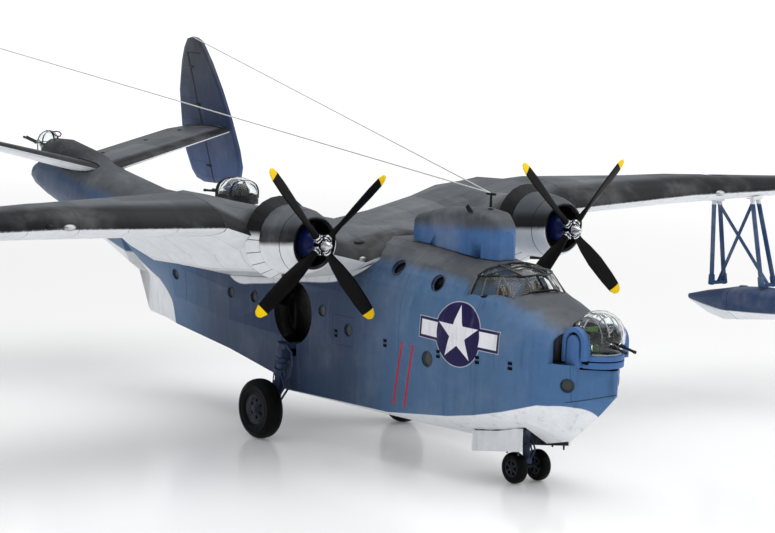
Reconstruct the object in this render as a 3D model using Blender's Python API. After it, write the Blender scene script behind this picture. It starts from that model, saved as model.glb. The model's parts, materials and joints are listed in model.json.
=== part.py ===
"""Twin engined patrol flying boat standing on its own wheels, a scale model at 1:72.

Every size below is that of the full-size aircraft in metres, with y = 0 at the front of the
bow dome, y growing aft, x = 0 on the centre plane with port at +x, and z = 0 on the ground.
SCALE brings a finished mesh to the size of the model, and MIDDLE_Y moves the origin to the
middle of its length.
"""

import math

import bmesh
import bpy
from mathutils import Matrix, Vector

SCALE = 1.0 / 72.0
GAP = 0.0003 / SCALE

BOW_GUN_TIP_Y = -0.13
TAIL_GUN_TIP_Y = 24.85
MIDDLE_Y = (BOW_GUN_TIP_Y + TAIL_GUN_TIP_Y) / 2
HALF_SPAN = 17.985
WING_JOIN_X = 5.20

ENGINE_X = 3.697
ENGINE_Z = 5.183
PROPELLER_Y = 5.95
PROPELLER_RADIUS = 2.264
BLADE_COUNT = 4
FIRST_BLADE = {"port": -0.782, "starboard": -0.704}
BOSS_RADIUS = 0.15
BOSS_HALF_LENGTH = 0.10
COWL_FRONT_Y = 6.22
COWL_REAR_Y = 7.24
COWL_RADIUS = 0.78
COWL_MOUTH_RADIUS = 0.52

MAIN_WHEEL_X = 2.17
MAIN_WHEEL_Y = 10.225
MAIN_TYRE_RADIUS = 0.715
MAIN_TYRE_WIDTH = 0.44
MAIN_LEG_X = 1.74
MAIN_LEG_TOP_Z = 2.28
MAIN_LEG_RAKE = 0.28
NOSE_WHEEL_X = 0.343
NOSE_WHEEL_Y = 3.079
NOSE_TYRE_RADIUS = 0.355
NOSE_TYRE_WIDTH = 0.25
NOSE_AXLE_RADIUS = 0.05
HUB_SHARE = 0.62
HUB_FACE_SHARE = 0.42
DOOR_THICKNESS = 0.05

HULL_WALL = 0.14
HOLD_STATIONS = (12.95, 14.2, 15.5, 16.4, 17.3)
HATCH_RADIUS = 0.40
WELL_CENTRE_Y = 9.88
WELL_CENTRE_Z = 3.03
WELL_RADIUS = 0.76
WELL_DEPTH = 0.52
WELL_SLOT_WIDTH = 0.30
WELL_SLOT_BOTTOM_Z = 1.98
HULL_HALF_WIDTH = 1.55
BAY_FRONT_Y = 2.42
BAY_REAR_Y = 4.16
BAY_HALF_WIDTH = 0.66
BAY_TOP_Z = 1.95
TUB_FRONT_Y = 2.92
TUB_REAR_Y = 3.72
TUB_HALF_WIDTH = 0.74
TUB_FLOOR_Z = 3.30

BOW_TURRET = Vector((0.0, 0.87, 3.58))
BOW_TURRET_RADIUS = 0.58
BOW_RING_TOP_Z = 3.22
BOW_RING_FOOT_Z = 2.94
BOW_RING_RADIUS = 0.565
BOW_RING_WALL = 0.18
BOW_GUN_X = 0.13
CHEEK_Y = 0.98
CHEEK_Z = 3.46
CHEEK_FOOT_Z = 3.02
CHEEK_RADIUS = 0.36
CHEEK_INNER_X = 0.46
CHEEK_OUTER_X = 0.65
CHEEK_SLOT_X = 1.20
DORSAL_TURRET = Vector((0.0, 14.45, 5.10))
DORSAL_RING_RADIUS = 0.54
DORSAL_RING_RISE = 0.12
DORSAL_GUN_X = 0.13
TAIL_TURRET = Vector((0.0, 23.61, 5.90))
TAIL_DOME_RADIUS = 0.33
TAIL_DOME_STEPS = 6
TAIL_RING_TOP_Z = 5.46
TAIL_GUN_X = 0.10
DOME_WALL = 0.05
BARREL_RADIUS = 0.034

SIDES = {"port": 1, "starboard": -1}

# y, keel z, chine x and z, waist x and z, widest x and z, top z
HULL_SECTIONS = [
    (0.30, 2.34, 0.04, 2.37, 0.05, 2.60, 0.07, 2.76, 2.90),
    (0.45, 2.17, 0.20, 2.31, 0.22, 2.60, 0.24, 2.78, 3.03),
    (0.65, 1.97, 0.38, 2.26, 0.41, 2.60, 0.44, 2.82, 3.22),
    (1.00, 1.66, 0.69, 2.17, 0.73, 2.60, 0.76, 2.90, 3.56),
    (1.40, 1.34, 0.96, 2.09, 1.00, 2.60, 1.05, 2.95, 3.84),
    (1.64, 1.16, 1.08, 2.04, 1.11, 2.60, 1.15, 3.00, 3.97),
    (2.50, 0.96, 1.28, 1.78, 1.32, 2.60, 1.35, 3.10, 4.28),
    (2.76, 0.93, 1.33, 1.71, 1.36, 2.58, 1.38, 3.11, 4.36),
    (3.34, 0.865, 1.40, 1.58, 1.43, 2.55, 1.45, 3.13, 4.60),
    (3.84, 0.82, 1.45, 1.49, 1.48, 2.52, 1.50, 3.14, 4.83),
    (4.14, 0.80, 1.47, 1.44, 1.50, 2.50, 1.52, 3.15, 4.90),
    (6.20, 0.745, 1.50, 1.20, 1.54, 2.40, 1.55, 3.20, 5.05),
    (8.35, 0.72, 1.50, 1.15, 1.54, 2.40, 1.55, 3.20, 5.12),
    (10.28, 0.72, 1.50, 1.13, 1.54, 2.40, 1.55, 3.20, 5.12),
    (10.34, 0.98, 1.50, 1.40, 1.54, 2.40, 1.55, 3.20, 5.12),
    (12.58, 1.25, 1.44, 1.77, 1.50, 2.50, 1.52, 3.25, 5.10),
    (15.50, 1.56, 1.01, 1.95, 1.14, 2.70, 1.36, 3.55, 5.10),
    (16.90, 1.72, 0.60, 2.00, 0.74, 2.85, 1.22, 3.75, 5.10),
    (18.30, 1.87, 0.05, 1.95, 0.09, 2.90, 1.06, 4.00, 5.14),
    (18.42, 2.90, 0.30, 2.96, 0.62, 3.20, 1.04, 4.05, 5.16),
    (20.30, 3.55, 0.28, 3.62, 0.56, 3.85, 0.88, 4.50, 5.49),
    (21.40, 3.90, 0.26, 3.96, 0.50, 4.15, 0.80, 4.68, 5.86),
    (22.60, 4.30, 0.24, 4.35, 0.44, 4.52, 0.70, 4.88, 6.08),
    (23.20, 4.47, 0.22, 4.51, 0.40, 4.66, 0.60, 4.96, 6.06),
    (23.25, 4.48, 0.22, 4.52, 0.40, 4.67, 0.59, 4.96, 5.44),
    (23.80, 4.66, 0.16, 4.70, 0.28, 4.78, 0.42, 5.00, 5.36),
    (24.20, 4.90, 0.05, 4.92, 0.08, 4.96, 0.12, 5.04, 5.22),
]
HULL_ARC_STEPS = 7
HULL_ARC_POWER = 2.4

# x, leading edge y and z, trailing edge y and z, rise above and drop below the chord line, crest's shift aft
CENTRE_WING_SECTIONS = [
    (0.00, 7.20, 4.95, 12.6, 4.75, 0.28, 0.30, 1.0),
    (1.50, 7.15, 4.54, 12.6, 3.62, 1.25, 0.22, 2.7),
    (2.90, 7.40, 4.88, 12.6, 3.95, 1.20, 0.27, 2.8),
    (3.70, 7.46, 4.99, 12.6, 4.10, 1.27, 0.28, 3.1),
    (4.44, 7.46, 5.23, 12.5, 4.50, 1.07, 0.30, 2.6),
    (5.20, 7.46, 5.47, 12.3, 5.00, 0.74, 0.19, 1.45),
]
OUTER_WING_SECTIONS = [
    (5.20, 7.46, 5.47, 12.3, 5.00, 0.74, 0.19, 1.45),
    (9.50, 7.75, 5.60, 11.6, 5.20, 0.54, 0.21, 1.0),
    (14.30, 8.15, 5.55, 10.9, 5.30, 0.33, 0.14, 1.0),
    (16.80, 8.38, 5.51, 10.5, 5.35, 0.22, 0.10, 1.0),
    (17.60, 8.62, 5.50, 10.3, 5.38, 0.15, 0.07, 1.0),
    (HALF_SPAN, 9.05, 5.49, 9.85, 5.44, 0.05, 0.03, 1.0),
]
TAILPLANE_SECTIONS = [
    (0.00, 20.45, 5.37, 23.05, 5.37, 0.17, 0.15, 1.0),
    (0.60, 20.48, 5.51, 23.05, 5.51, 0.17, 0.15, 1.0),
    (3.62, 20.64, 6.23, 23.10, 6.23, 0.12, 0.10, 1.0),
    (4.10, 20.68, 6.34, 22.80, 6.34, 0.11, 0.09, 1.0),
]
WING_CHORD_STEPS = 11
FULLNESS = 1.04
NOSE_FULLNESS = 0.16
EDGE_THICKNESS = 0.015

# y and height along the fin, from its top round its leading edge and back up the rudder
FIN_OUTLINE = [
    (21.94, 2.61), (21.70, 2.58), (21.49, 2.48), (21.20, 1.89), (20.94, 1.13), (20.73, 0.25),
    (20.61, -0.60), (20.63, -1.11), (20.78, -1.40), (21.10, -1.56), (22.04, -1.67),
    (22.60, -1.68), (22.95, -1.58), (23.12, -1.36), (23.26, -0.80), (23.22, 0.00),
    (23.02, 1.02), (22.64, 1.89), (22.39, 2.30), (22.15, 2.56),
]
FIN_CANT = math.radians(13.5)
FIN_FOOT = Vector((4.25, 0.0, 6.38))
FIN_THICKNESS = 0.16
FIN_MIDDLE_Y = 21.9
FIN_MIDDLE_HEIGHT = 0.4

# place across the fin in half thicknesses, outline size
FIN_LAYERS = [(-1.0, 0.93), (-0.55, 1.0), (0.55, 1.0), (1.0, 0.93)]

# y, keel z, chine x and z, deck edge x and z, top z
FLOAT_SECTIONS = [
    (5.30, 2.70, 0.05, 2.74, 0.06, 2.80, 2.84),
    (5.75, 2.50, 0.24, 2.64, 0.25, 2.84, 3.00),
    (6.60, 2.33, 0.42, 2.52, 0.43, 2.86, 3.08),
    (7.80, 2.20, 0.47, 2.43, 0.48, 2.84, 3.07),
    (8.70, 2.08, 0.45, 2.36, 0.46, 2.76, 2.97),
    (9.20, 2.03, 0.38, 2.32, 0.39, 2.68, 2.86),
    (9.80, 2.14, 0.26, 2.36, 0.27, 2.56, 2.74),
    (10.50, 2.40, 0.05, 2.46, 0.06, 2.52, 2.56),
]
FLOAT_X = 12.25

# x, y and z of the canopy's corners on its port half, from the screen's foot to the rear arch
CANOPY_CORNERS = [
    (0.776, 2.80, 4.187), (0.302, 2.69, 4.343), (0.0, 2.68, 4.355), (0.707, 3.25, 4.633),
    (0.302, 2.98, 4.636), (0.0, 2.97, 4.66), (0.90, 3.50, 4.64), (0.0, 3.45, 4.78),
    (1.16, 3.50, 4.13), (1.27, 3.80, 4.10), (1.16, 3.80, 4.38), (1.00, 3.80, 4.60),
    (0.75, 3.80, 4.73), (0.40, 3.80, 4.81), (0.0, 3.80, 4.83), (0.80, 2.82, 4.00),
    (0.30, 2.72, 4.00), (1.27, 3.80, 4.00),
]
CANOPY_MIDDLE = Vector((0.0, 3.30, 4.05))
CANOPY_WALL = 0.055
SEAT_X = 0.42
SEAT_WIDTH = 0.44

# y, half width, top z
RADOME_SECTIONS = [
    (4.00, 0.20, 5.52),
    (4.10, 0.34, 5.76),
    (4.36, 0.44, 5.94),
    (4.80, 0.46, 5.98),
    (5.90, 0.46, 5.90),
    (6.80, 0.42, 5.68),
]
RADOME_FOOT_Z = 4.72
MAST_FOOT = (0.0, 4.60, 6.01)
MAST_TOP = (0.0, 4.60, 6.31)
BLADE_AERIAL_FOOT = (-0.40, 4.60, 5.68)
BLADE_AERIAL_TOP = (-0.40, 4.95, 6.02)

# y, half width, top z, bottom z
NACELLE_SECTIONS = [
    (7.42, 0.66, 5.74, 4.54),
    (8.20, 0.74, 5.81, 4.32),
    (9.80, 0.76, 5.78, 4.16),
    (11.2, 0.66, 5.45, 4.12),
    (12.3, 0.46, 4.70, 4.16),
]

NACELLE_STEPS = 18

COWL_PROFILE = [
    (COWL_FRONT_Y, COWL_MOUTH_RADIUS + 0.03), (COWL_FRONT_Y + 0.02, COWL_MOUTH_RADIUS + 0.09),
    (COWL_FRONT_Y + 0.14, 0.67), (COWL_FRONT_Y + 0.40, 0.745),
    (COWL_FRONT_Y + 0.75, COWL_RADIUS), (COWL_REAR_Y, COWL_RADIUS),
    (COWL_REAR_Y, COWL_RADIUS - 0.06), (COWL_FRONT_Y + 0.5, 0.68),
    (COWL_FRONT_Y + 0.16, 0.57), (COWL_FRONT_Y + 0.04, COWL_MOUTH_RADIUS),
]
FLAP_PROFILE = [
    (COWL_REAR_Y + GAP, 0.71), (COWL_REAR_Y + GAP, 0.775), (7.58, 0.94), (7.60, 0.89), (7.40, 0.72),
]
ENGINE_PROFILE = [
    (6.12, 0.0), (6.12, 0.12), (6.30, 0.30), (6.58, 0.36), (6.62, 0.60), (7.20, 0.62),
    (7.22, 0.40), (7.42 - GAP, 0.40), (7.42 - GAP, 0.0),
]

# along the shaft from the blades' plane, radius
BOSS_PROFILE = [
    (-BOSS_HALF_LENGTH, 0.0), (-BOSS_HALF_LENGTH, BOSS_RADIUS), (BOSS_HALF_LENGTH, BOSS_RADIUS),
    (0.14, 0.09), (0.14, 0.0),
]
HUB_CAP_PROFILE = [
    (-0.32, 0.0), (-0.30, 0.06), (-0.24, 0.09), (-0.20, 0.13),
    (-BOSS_HALF_LENGTH - GAP, BOSS_RADIUS), (-BOSS_HALF_LENGTH - GAP, 0.0),
]
BLADE_STEPS = 10

# radius share, chord, thickness, pitch in degrees
BLADE_STATIONS = [
    (0.06, 0.17, 0.17, 60.0),
    (0.16, 0.19, 0.15, 52.0),
    (0.30, 0.29, 0.09, 44.0),
    (0.50, 0.36, 0.06, 34.0),
    (0.75, 0.34, 0.045, 26.0),
    (0.92, 0.29, 0.04, 22.0),
    (0.98, 0.19, 0.03, 21.0),
    (1.00, 0.07, 0.02, 21.0),
]

# top y and z, bottom y and z
STRUT_REAR = (9.635, 5.24, 9.46, 2.93)
STRUT_FRONT = (8.254, 5.42, 7.62, 3.08)
STRUT_RADIUS = 0.075
STRUT_TOP_SPREAD = 0.10
STRUT_LOW_SPREAD = 0.24
BRACE_RADIUS = 0.045

# height above the dome's base, radius
DORSAL_DOME_PROFILE = [
    (0.0, 0.52), (0.20, 0.52), (0.36, 0.46), (0.46, 0.34), (0.52, 0.17), (0.54, 0.0),
    (0.54 - DOME_WALL, 0.0), (0.52 - DOME_WALL, 0.15), (0.46 - DOME_WALL, 0.30),
    (0.36 - DOME_WALL, 0.41), (0.20, 0.52 - DOME_WALL), (0.0, 0.52 - DOME_WALL),
]
DORSAL_GUN_TIP_Y = 15.73
CHEEK_STEPS = 10

# y and z round a nose wheel door
NOSE_DOOR_OUTLINE = [(2.46, 1.37), (3.30, 1.185), (4.12, 1.062), (4.12, 0.60), (2.46, 0.855)]

# position across the tyre in widths, radius share
TYRE_PROFILE = [
    (-0.5, HUB_SHARE), (-0.46, 0.86), (-0.30, 0.97), (0.0, 1.0), (0.30, 0.97), (0.46, 0.86),
    (0.5, HUB_SHARE),
]

materials = {}


def clear_scene():
    for item in list(bpy.data.objects):
        bpy.data.objects.remove(item)


def material(name, colour, roughness=0.5, metallic=0.0, transmission=0.0):
    made = bpy.data.materials.new(name)
    made.use_nodes = True
    shader = made.node_tree.nodes["Principled BSDF"]
    shader.inputs["Base Color"].default_value = (*colour, 1.0)
    shader.inputs["Roughness"].default_value = roughness
    shader.inputs["Metallic"].default_value = metallic
    shader.inputs["Transmission Weight"].default_value = transmission
    materials[name] = made


def make_materials():
    material("side_blue", (0.065, 0.14, 0.27))
    material("top_grey", (0.075, 0.085, 0.095))
    material("dark_grey", (0.035, 0.038, 0.045))
    material("blade_black", (0.012, 0.012, 0.014))
    material("hub_silver", (0.62, 0.63, 0.65), 0.3, 1.0)
    material("crankcase_blue", (0.02, 0.035, 0.14))
    material("tyre_black", (0.012, 0.012, 0.013), 0.75)
    material("wheel_blue", (0.03, 0.04, 0.075))
    material("gear_blue", (0.02, 0.035, 0.08))
    material("under_white", (0.72, 0.74, 0.77))
    material("gun_metal", (0.02, 0.021, 0.024), 0.4, 0.6)
    material("inside_green", (0.12, 0.25, 0.05))
    material("seat_tan", (0.16, 0.11, 0.06))
    material("clear", (0.9, 0.95, 0.97), 0.05, 0.0, 1.0)


def to_model(point):
    """A full-size place as a place in the model."""
    return Vector((point[0], point[1] - MIDDLE_Y, point[2])) * SCALE


def emit(name, bm, finish, pivot=None, smooth_angle=40.0):
    """Closes a full-size bmesh into a named model-size object whose origin is the pivot."""
    bmesh.ops.recalc_face_normals(bm, faces=bm.faces)
    origin = Vector((0.0, MIDDLE_Y, 0.0)) if pivot is None else Vector(pivot)
    bmesh.ops.translate(bm, verts=bm.verts, vec=-origin)
    bmesh.ops.scale(bm, verts=bm.verts, vec=(SCALE, SCALE, SCALE))
    mesh = bpy.data.meshes.new(name)
    bm.to_mesh(mesh)
    bm.free()
    mesh.shade_smooth()
    mesh.set_sharp_from_angle(angle=math.radians(smooth_angle))
    mesh.materials.append(materials[finish])
    made = bpy.data.objects.new(name, mesh)
    made.location = to_model(origin)
    bpy.context.scene.collection.objects.link(made)
    return made


def helper(name, bm):
    """An object that only cuts or joins others."""
    made = emit(name, bm, "dark_grey")
    made.hide_render = True
    made.display_type = "WIRE"
    return made


def boolean(target, other, operation):
    step = target.modifiers.new(operation.lower(), "BOOLEAN")
    step.operation = operation
    step.object = other
    step.solver = "EXACT"


def cut(target, name, bm):
    boolean(target, helper(f"{target.name}_cut_{name}", bm), "DIFFERENCE")


def loft(rings):
    """A closed skin through rings of equal count, as a bmesh."""
    bm = bmesh.new()
    loops = [[bm.verts.new(point) for point in ring] for ring in rings]
    for near, far in zip(loops, loops[1:]):
        for index in range(len(near)):
            after = (index + 1) % len(near)
            bm.faces.new((near[index], near[after], far[after], far[index]))
    bm.faces.new(loops[0])
    bm.faces.new(list(reversed(loops[-1])))
    bmesh.ops.triangulate(bm, faces=bm.faces)
    return bm


def revolve(profile, centre, axis="Y", steps=32):
    """A turned body: profile is (along, radius) pairs, closed on itself or on its axis."""
    bm = bmesh.new()
    turned = {"X": (0, 1, 2), "Y": (1, 0, 2), "Z": (2, 0, 1)}[axis]
    points = []
    for along, radius in profile:
        place = [0.0, 0.0, 0.0]
        place[turned[0]] = along
        place[turned[1]] = radius
        points.append(bm.verts.new(Vector(place) + Vector(centre)))
    ends_on_axis = profile[0][1] == 0.0 and profile[-1][1] == 0.0
    following = points[1:] if ends_on_axis else points[1:] + points[:1]
    edges = [bm.edges.new(pair) for pair in zip(points, following)]
    spin_axis = [0.0, 0.0, 0.0]
    spin_axis[turned[0]] = 1.0
    bmesh.ops.spin(
        bm, geom=points + edges, cent=Vector(centre), axis=Vector(spin_axis),
        angle=math.tau, steps=steps, use_merge=True,
    )
    bmesh.ops.remove_doubles(bm, verts=bm.verts, dist=1e-5)
    bmesh.ops.dissolve_degenerate(bm, edges=bm.edges, dist=1e-6)
    return bm


def box(low, high):
    bm = bmesh.new()
    bmesh.ops.create_cube(bm, size=1.0)
    size = Vector(high) - Vector(low)
    bmesh.ops.scale(bm, verts=bm.verts, vec=size)
    bmesh.ops.translate(bm, verts=bm.verts, vec=(Vector(high) + Vector(low)) / 2)
    return bm


def block(middle, size):
    half = Vector(size) / 2
    return box(Vector(middle) - half, Vector(middle) + half)


def rod(start, end, radius, end_radius=None, steps=12, flatten=1.0):
    """A round or flattened bar between two places; flattened bars are thin along x."""
    start, end = Vector(start), Vector(end)
    along = (end - start).normalized()
    side = along.orthogonal().normalized()
    if abs(along.x) < 0.9:
        side = (Vector((1.0, 0.0, 0.0)) - along * along.x).normalized()
    up = along.cross(side)
    rings = []
    for place, size in ((start, radius), (end, end_radius or radius)):
        ring = []
        for step in range(steps):
            turn = math.tau * step / steps
            across = side * (math.cos(turn) * size * flatten)
            ring.append(place + across + up * (math.sin(turn) * size))
        rings.append(ring)
    return loft(rings)


def join(target, pieces):
    """Unions helper solids onto an object and takes the result as its mesh."""
    for index, bm in enumerate(pieces):
        boolean(target, helper(f"{target.name}_joined_{index}", bm), "UNION")


def arc_point(side_x, side_z, top_z, turn, power):
    cosine, sine = math.cos(turn), math.sin(turn)
    rise = (top_z - side_z) * abs(sine) ** (2 / power)
    return side_x * abs(cosine) ** (2 / power), side_z + rise


def hull_ring(section):
    y, keel, chine_x, chine_z, waist_x, waist_z, side_x, side_z, top = section
    half = [(chine_x, chine_z), (waist_x, waist_z)]
    for step in range(HULL_ARC_STEPS):
        half.append(arc_point(side_x, side_z, top, math.pi / 2 * step / HULL_ARC_STEPS, HULL_ARC_POWER))
    ring = [(0.0, y, keel)]
    ring += [(x, y, z) for x, z in half]
    ring += [(0.0, y, top)]
    ring += [(-x, y, z) for x, z in reversed(half)]
    return ring


def bulge(share):
    """How full an aerofoil is at a share of its chord, by the usual four digit thickness curve."""
    fore = 2.969 * math.sqrt(share) - 1.26 * share - 3.516 * share**2
    return FULLNESS * (fore + 2.843 * share**3 - 1.015 * share**4)


def aerofoil_ring(section, grow=0.0):
    """Points round one section; a crest above one carries its highest place further aft."""
    x, front_y, front_z, back_y, back_z, rise, drop, crest = section
    upper, lower = [], []
    for step in range(WING_CHORD_STEPS + 1):
        share = (1 - math.cos(math.pi * step / WING_CHORD_STEPS)) / 2
        over = bulge(share**crest) + NOSE_FULLNESS * (crest - 1) * bulge(share) * (1 - share)
        y = front_y - grow + (back_y - front_y + 2 * grow) * share
        z = front_z + (back_z - front_z) * share
        spare = grow + EDGE_THICKNESS * share
        upper.append((x, y, z + rise * over + spare))
        lower.append((x, y, z - drop * bulge(share) - spare))
    return list(reversed(upper)) + lower[1:]


def wing_skin(sections, grow=0.0):
    return loft([aerofoil_ring(section, grow) for section in sections])


def mirrored(sections):
    left = [(-section[0], *section[1:]) for section in reversed(sections)]
    return left + [section for section in sections if section[0] > 0]


def blended(sections, x):
    """The section between two rows of a table."""
    for near, far in zip(sections, sections[1:]):
        if near[0] <= x <= far[0]:
            share = (x - near[0]) / (far[0] - near[0])
            return tuple(a + (b - a) * share for a, b in zip(near, far))
    return sections[-1]


def canopy_solid(sideways, ahead, behind, up, down):
    """The canopy's solid block with its faces moved outward by the given amounts."""
    bm = bmesh.new()
    for corner in CANOPY_CORNERS:
        for sign in SIDES.values():
            x, y, z = corner
            x += sideways if x > 0.0 else 0.0
            y += behind if y > CANOPY_MIDDLE.y + 0.3 else -ahead
            z += up if z > CANOPY_MIDDLE.z else -down
            bm.verts.new((sign * x, y, z))
    shell = bmesh.ops.convex_hull(bm, input=bm.verts)
    spare = [item for item in shell["geom_interior"] + shell["geom_unused"] if item.is_valid]
    bmesh.ops.delete(bm, geom=list(set(spare)), context="VERTS")
    bmesh.ops.remove_doubles(bm, verts=bm.verts, dist=1e-5)
    return bm


def sphere(centre, radius, steps=28):
    bm = bmesh.new()
    bmesh.ops.create_uvsphere(bm, u_segments=steps, v_segments=steps // 2, radius=radius)
    bmesh.ops.translate(bm, verts=bm.verts, vec=centre)
    return bm


def dome_shell(centre, radius, floor_z, steps=24):
    """A thin ball cut off flat below, open at its foot."""
    bm = sphere(centre, radius, steps)
    inner = sphere(centre, radius - DOME_WALL, steps)
    bmesh.ops.reverse_faces(inner, faces=inner.faces)
    mesh = bpy.data.meshes.new("inner")
    inner.to_mesh(mesh)
    inner.free()
    bm.from_mesh(mesh)
    geometry = bm.verts[:] + bm.edges[:] + bm.faces[:]
    bmesh.ops.bisect_plane(
        bm, geom=geometry, plane_co=(0.0, 0.0, floor_z), plane_no=(0.0, 0.0, 1.0), clear_inner=True,
    )
    rim = [edge for edge in bm.edges if edge.is_boundary]
    bmesh.ops.bridge_loops(bm, edges=rim)
    return bm


def turret_room():
    """The room for the bow turret: straight round its collar, and a ball above."""
    wall = BOW_RING_RADIUS + GAP
    ball = BOW_TURRET_RADIUS + 2 * GAP
    start = -math.acos(wall / ball)
    profile = [(BOW_RING_FOOT_Z - GAP, 0.0), (BOW_RING_FOOT_Z - GAP, wall)]
    steps = 9
    for step in range(steps + 1):
        angle = start + (math.pi / 2 - start) * step / steps
        profile.append((BOW_TURRET.z + ball * math.sin(angle), ball * math.cos(angle)))
    return revolve(profile, (0.0, BOW_TURRET.y, 0.0), "Z", 26)


def make_hull():
    hull = emit("hull", loft([hull_ring(section) for section in HULL_SECTIONS]), "side_blue", None, 28)
    cutters = {
        "wing": wing_skin(mirrored(wing_root()), GAP),
        "tailplane": wing_skin(mirrored(TAILPLANE_SECTIONS), GAP),
        "turret": turret_room(),
        "canopy": canopy_solid(GAP, GAP, GAP, GAP, GAP),
        "tub": box((-TUB_HALF_WIDTH, TUB_FRONT_Y, TUB_FLOOR_Z), (TUB_HALF_WIDTH, TUB_REAR_Y, 4.6)),
        "bay": box((-BAY_HALF_WIDTH, BAY_FRONT_Y, 0.4), (BAY_HALF_WIDTH, BAY_REAR_Y, BAY_TOP_Z)),
    }
    for side, sign in SIDES.items():
        cutters[f"cheek_{side}"] = cheek(sign, GAP, CHEEK_SLOT_X)
        inner = sign * (HULL_HALF_WIDTH - WELL_DEPTH)
        outer = sign * (HULL_HALF_WIDTH + 0.25)
        cutters[f"well_{side}"] = revolve(
            [(inner, 0.0), (inner, WELL_RADIUS), (outer, WELL_RADIUS), (outer, 0.0)],
            (0.0, WELL_CENTRE_Y, WELL_CENTRE_Z), "X", 28,
        )
        near, far = sorted((sign * (HULL_HALF_WIDTH - WELL_DEPTH / 2), outer))
        cutters[f"slot_{side}"] = box(
            (near, WELL_CENTRE_Y - WELL_SLOT_WIDTH / 2, WELL_SLOT_BOTTOM_Z),
            (far, WELL_CENTRE_Y + WELL_SLOT_WIDTH / 2, WELL_CENTRE_Z),
        )
    cutters["hold"] = loft([hull_ring(inner_row(y)) for y in HOLD_STATIONS])
    low, high = (DORSAL_TURRET + Vector((0.0, 0.0, rise)) for rise in (-0.5, 0.2))
    cutters["hatch"] = rod(low, high, HATCH_RADIUS, steps=20)
    for name, bm in cutters.items():
        cut(hull, name, bm)


def inner_row(y):
    """The section of the hollow inside the hull, one wall's thickness in from its skin."""
    y, keel, chine_x, chine_z, waist_x, waist_z, side_x, side_z, top = blended(HULL_SECTIONS, y)
    wall = HULL_WALL
    chine = (chine_x - wall, chine_z + 0.7 * wall)
    waist = (waist_x - wall, waist_z)
    side = (side_x - wall, side_z)
    return (y, keel + 1.5 * wall, *chine, *waist, *side, top - wall)


def wing_root():
    """The wing's inner sections out to just beyond the hull's side."""
    inner = [row for row in CENTRE_WING_SECTIONS if row[0] < 2.0]
    return inner + [blended(CENTRE_WING_SECTIONS, 2.2)]


def make_wings():
    centre_wing = emit("wing_centre", wing_skin(mirrored(CENTRE_WING_SECTIONS)), "top_grey")
    join(centre_wing, [nacelle_body(sign) for sign in SIDES.values()])
    for side, sign in SIDES.items():
        rows = [blended(OUTER_WING_SECTIONS, WING_JOIN_X + GAP)] + OUTER_WING_SECTIONS[1:]
        emit(f"wing_{side}", wing_skin([(sign * row[0], *row[1:]) for row in rows]), "top_grey")


def nacelle_body(sign, grow=0.0):
    rings = []
    for y, half_width, top, bottom in NACELLE_SECTIONS:
        middle = (top + bottom) / 2
        half_height = (top - bottom) / 2 + grow
        ring = []
        for step in range(NACELLE_STEPS):
            turn = math.tau * step / NACELLE_STEPS
            x = sign * ENGINE_X + (half_width + grow) * math.cos(turn)
            ring.append((x, y - grow, middle + half_height * math.sin(turn)))
        rings.append(ring)
    return loft(rings)


def make_engines():
    for side, sign in SIDES.items():
        centre = (sign * ENGINE_X, 0.0, ENGINE_Z)
        emit(f"cowling_{side}", revolve(COWL_PROFILE, centre, "Y", 28), "top_grey")
        emit(f"engine_{side}", revolve(ENGINE_PROFILE, centre, "Y", 20), "crankcase_blue")
        flaps = emit(f"cowl_flaps_{side}", revolve(FLAP_PROFILE, centre, "Y", 24), "dark_grey")
        cut(flaps, "nacelle", nacelle_body(sign, GAP))
        cut(flaps, "wing", wing_skin([(sign * row[0], *row[1:]) for row in CENTRE_WING_SECTIONS[1:]], GAP))


def blade(angle):
    rings = []
    for share, chord, thick, pitch in BLADE_STATIONS:
        ring = []
        lean = math.radians(pitch)
        for step in range(BLADE_STEPS):
            turn = math.tau * step / BLADE_STEPS
            across = math.cos(turn) * chord / 2
            deep = math.sin(turn) * thick / 2
            x = across * math.cos(lean) - deep * math.sin(lean)
            y = across * math.sin(lean) + deep * math.cos(lean)
            ring.append((x, y, share * PROPELLER_RADIUS))
        rings.append(ring)
    bm = loft(rings)
    bmesh.ops.rotate(bm, verts=bm.verts, cent=(0, 0, 0), matrix=Matrix.Rotation(angle, 3, "Y"))
    return bm


def make_propellers():
    for side, sign in SIDES.items():
        place = Vector((sign * ENGINE_X, PROPELLER_Y, ENGINE_Z))
        propeller = emit(f"propeller_{side}", revolve(BOSS_PROFILE, place, "Y", 20), "blade_black", place)
        blades = []
        for index in range(BLADE_COUNT):
            bm = blade(FIRST_BLADE[side] + index * math.tau / BLADE_COUNT)
            bmesh.ops.translate(bm, verts=bm.verts, vec=place)
            blades.append(bm)
        join(propeller, blades)
        emit(f"propeller_hub_{side}", revolve(HUB_CAP_PROFILE, place, "Y", 20), "hub_silver", place)


def fin_place(sign, y, height, out):
    """A place on a fin, height up it from the tailplane's tip and out from its middle."""
    up = Vector((-math.sin(FIN_CANT), 0.0, math.cos(FIN_CANT)))
    away = Vector((math.cos(FIN_CANT), 0.0, math.sin(FIN_CANT)))
    place = FIN_FOOT + up * height + away * out
    return Vector((sign * place.x, y, place.z))


def make_tail():
    emit("tailplane", wing_skin(mirrored(TAILPLANE_SECTIONS)), "top_grey")
    for side, sign in SIDES.items():
        rings = []
        for share, size in FIN_LAYERS:
            ring = []
            for y, height in FIN_OUTLINE:
                near_y = FIN_MIDDLE_Y + (y - FIN_MIDDLE_Y) * size
                near_height = FIN_MIDDLE_HEIGHT + (height - FIN_MIDDLE_HEIGHT) * size
                ring.append(fin_place(sign, near_y, near_height, share * FIN_THICKNESS / 2))
            rings.append(ring)
        emit(f"fin_{side}", loft(rings), "side_blue")


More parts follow.
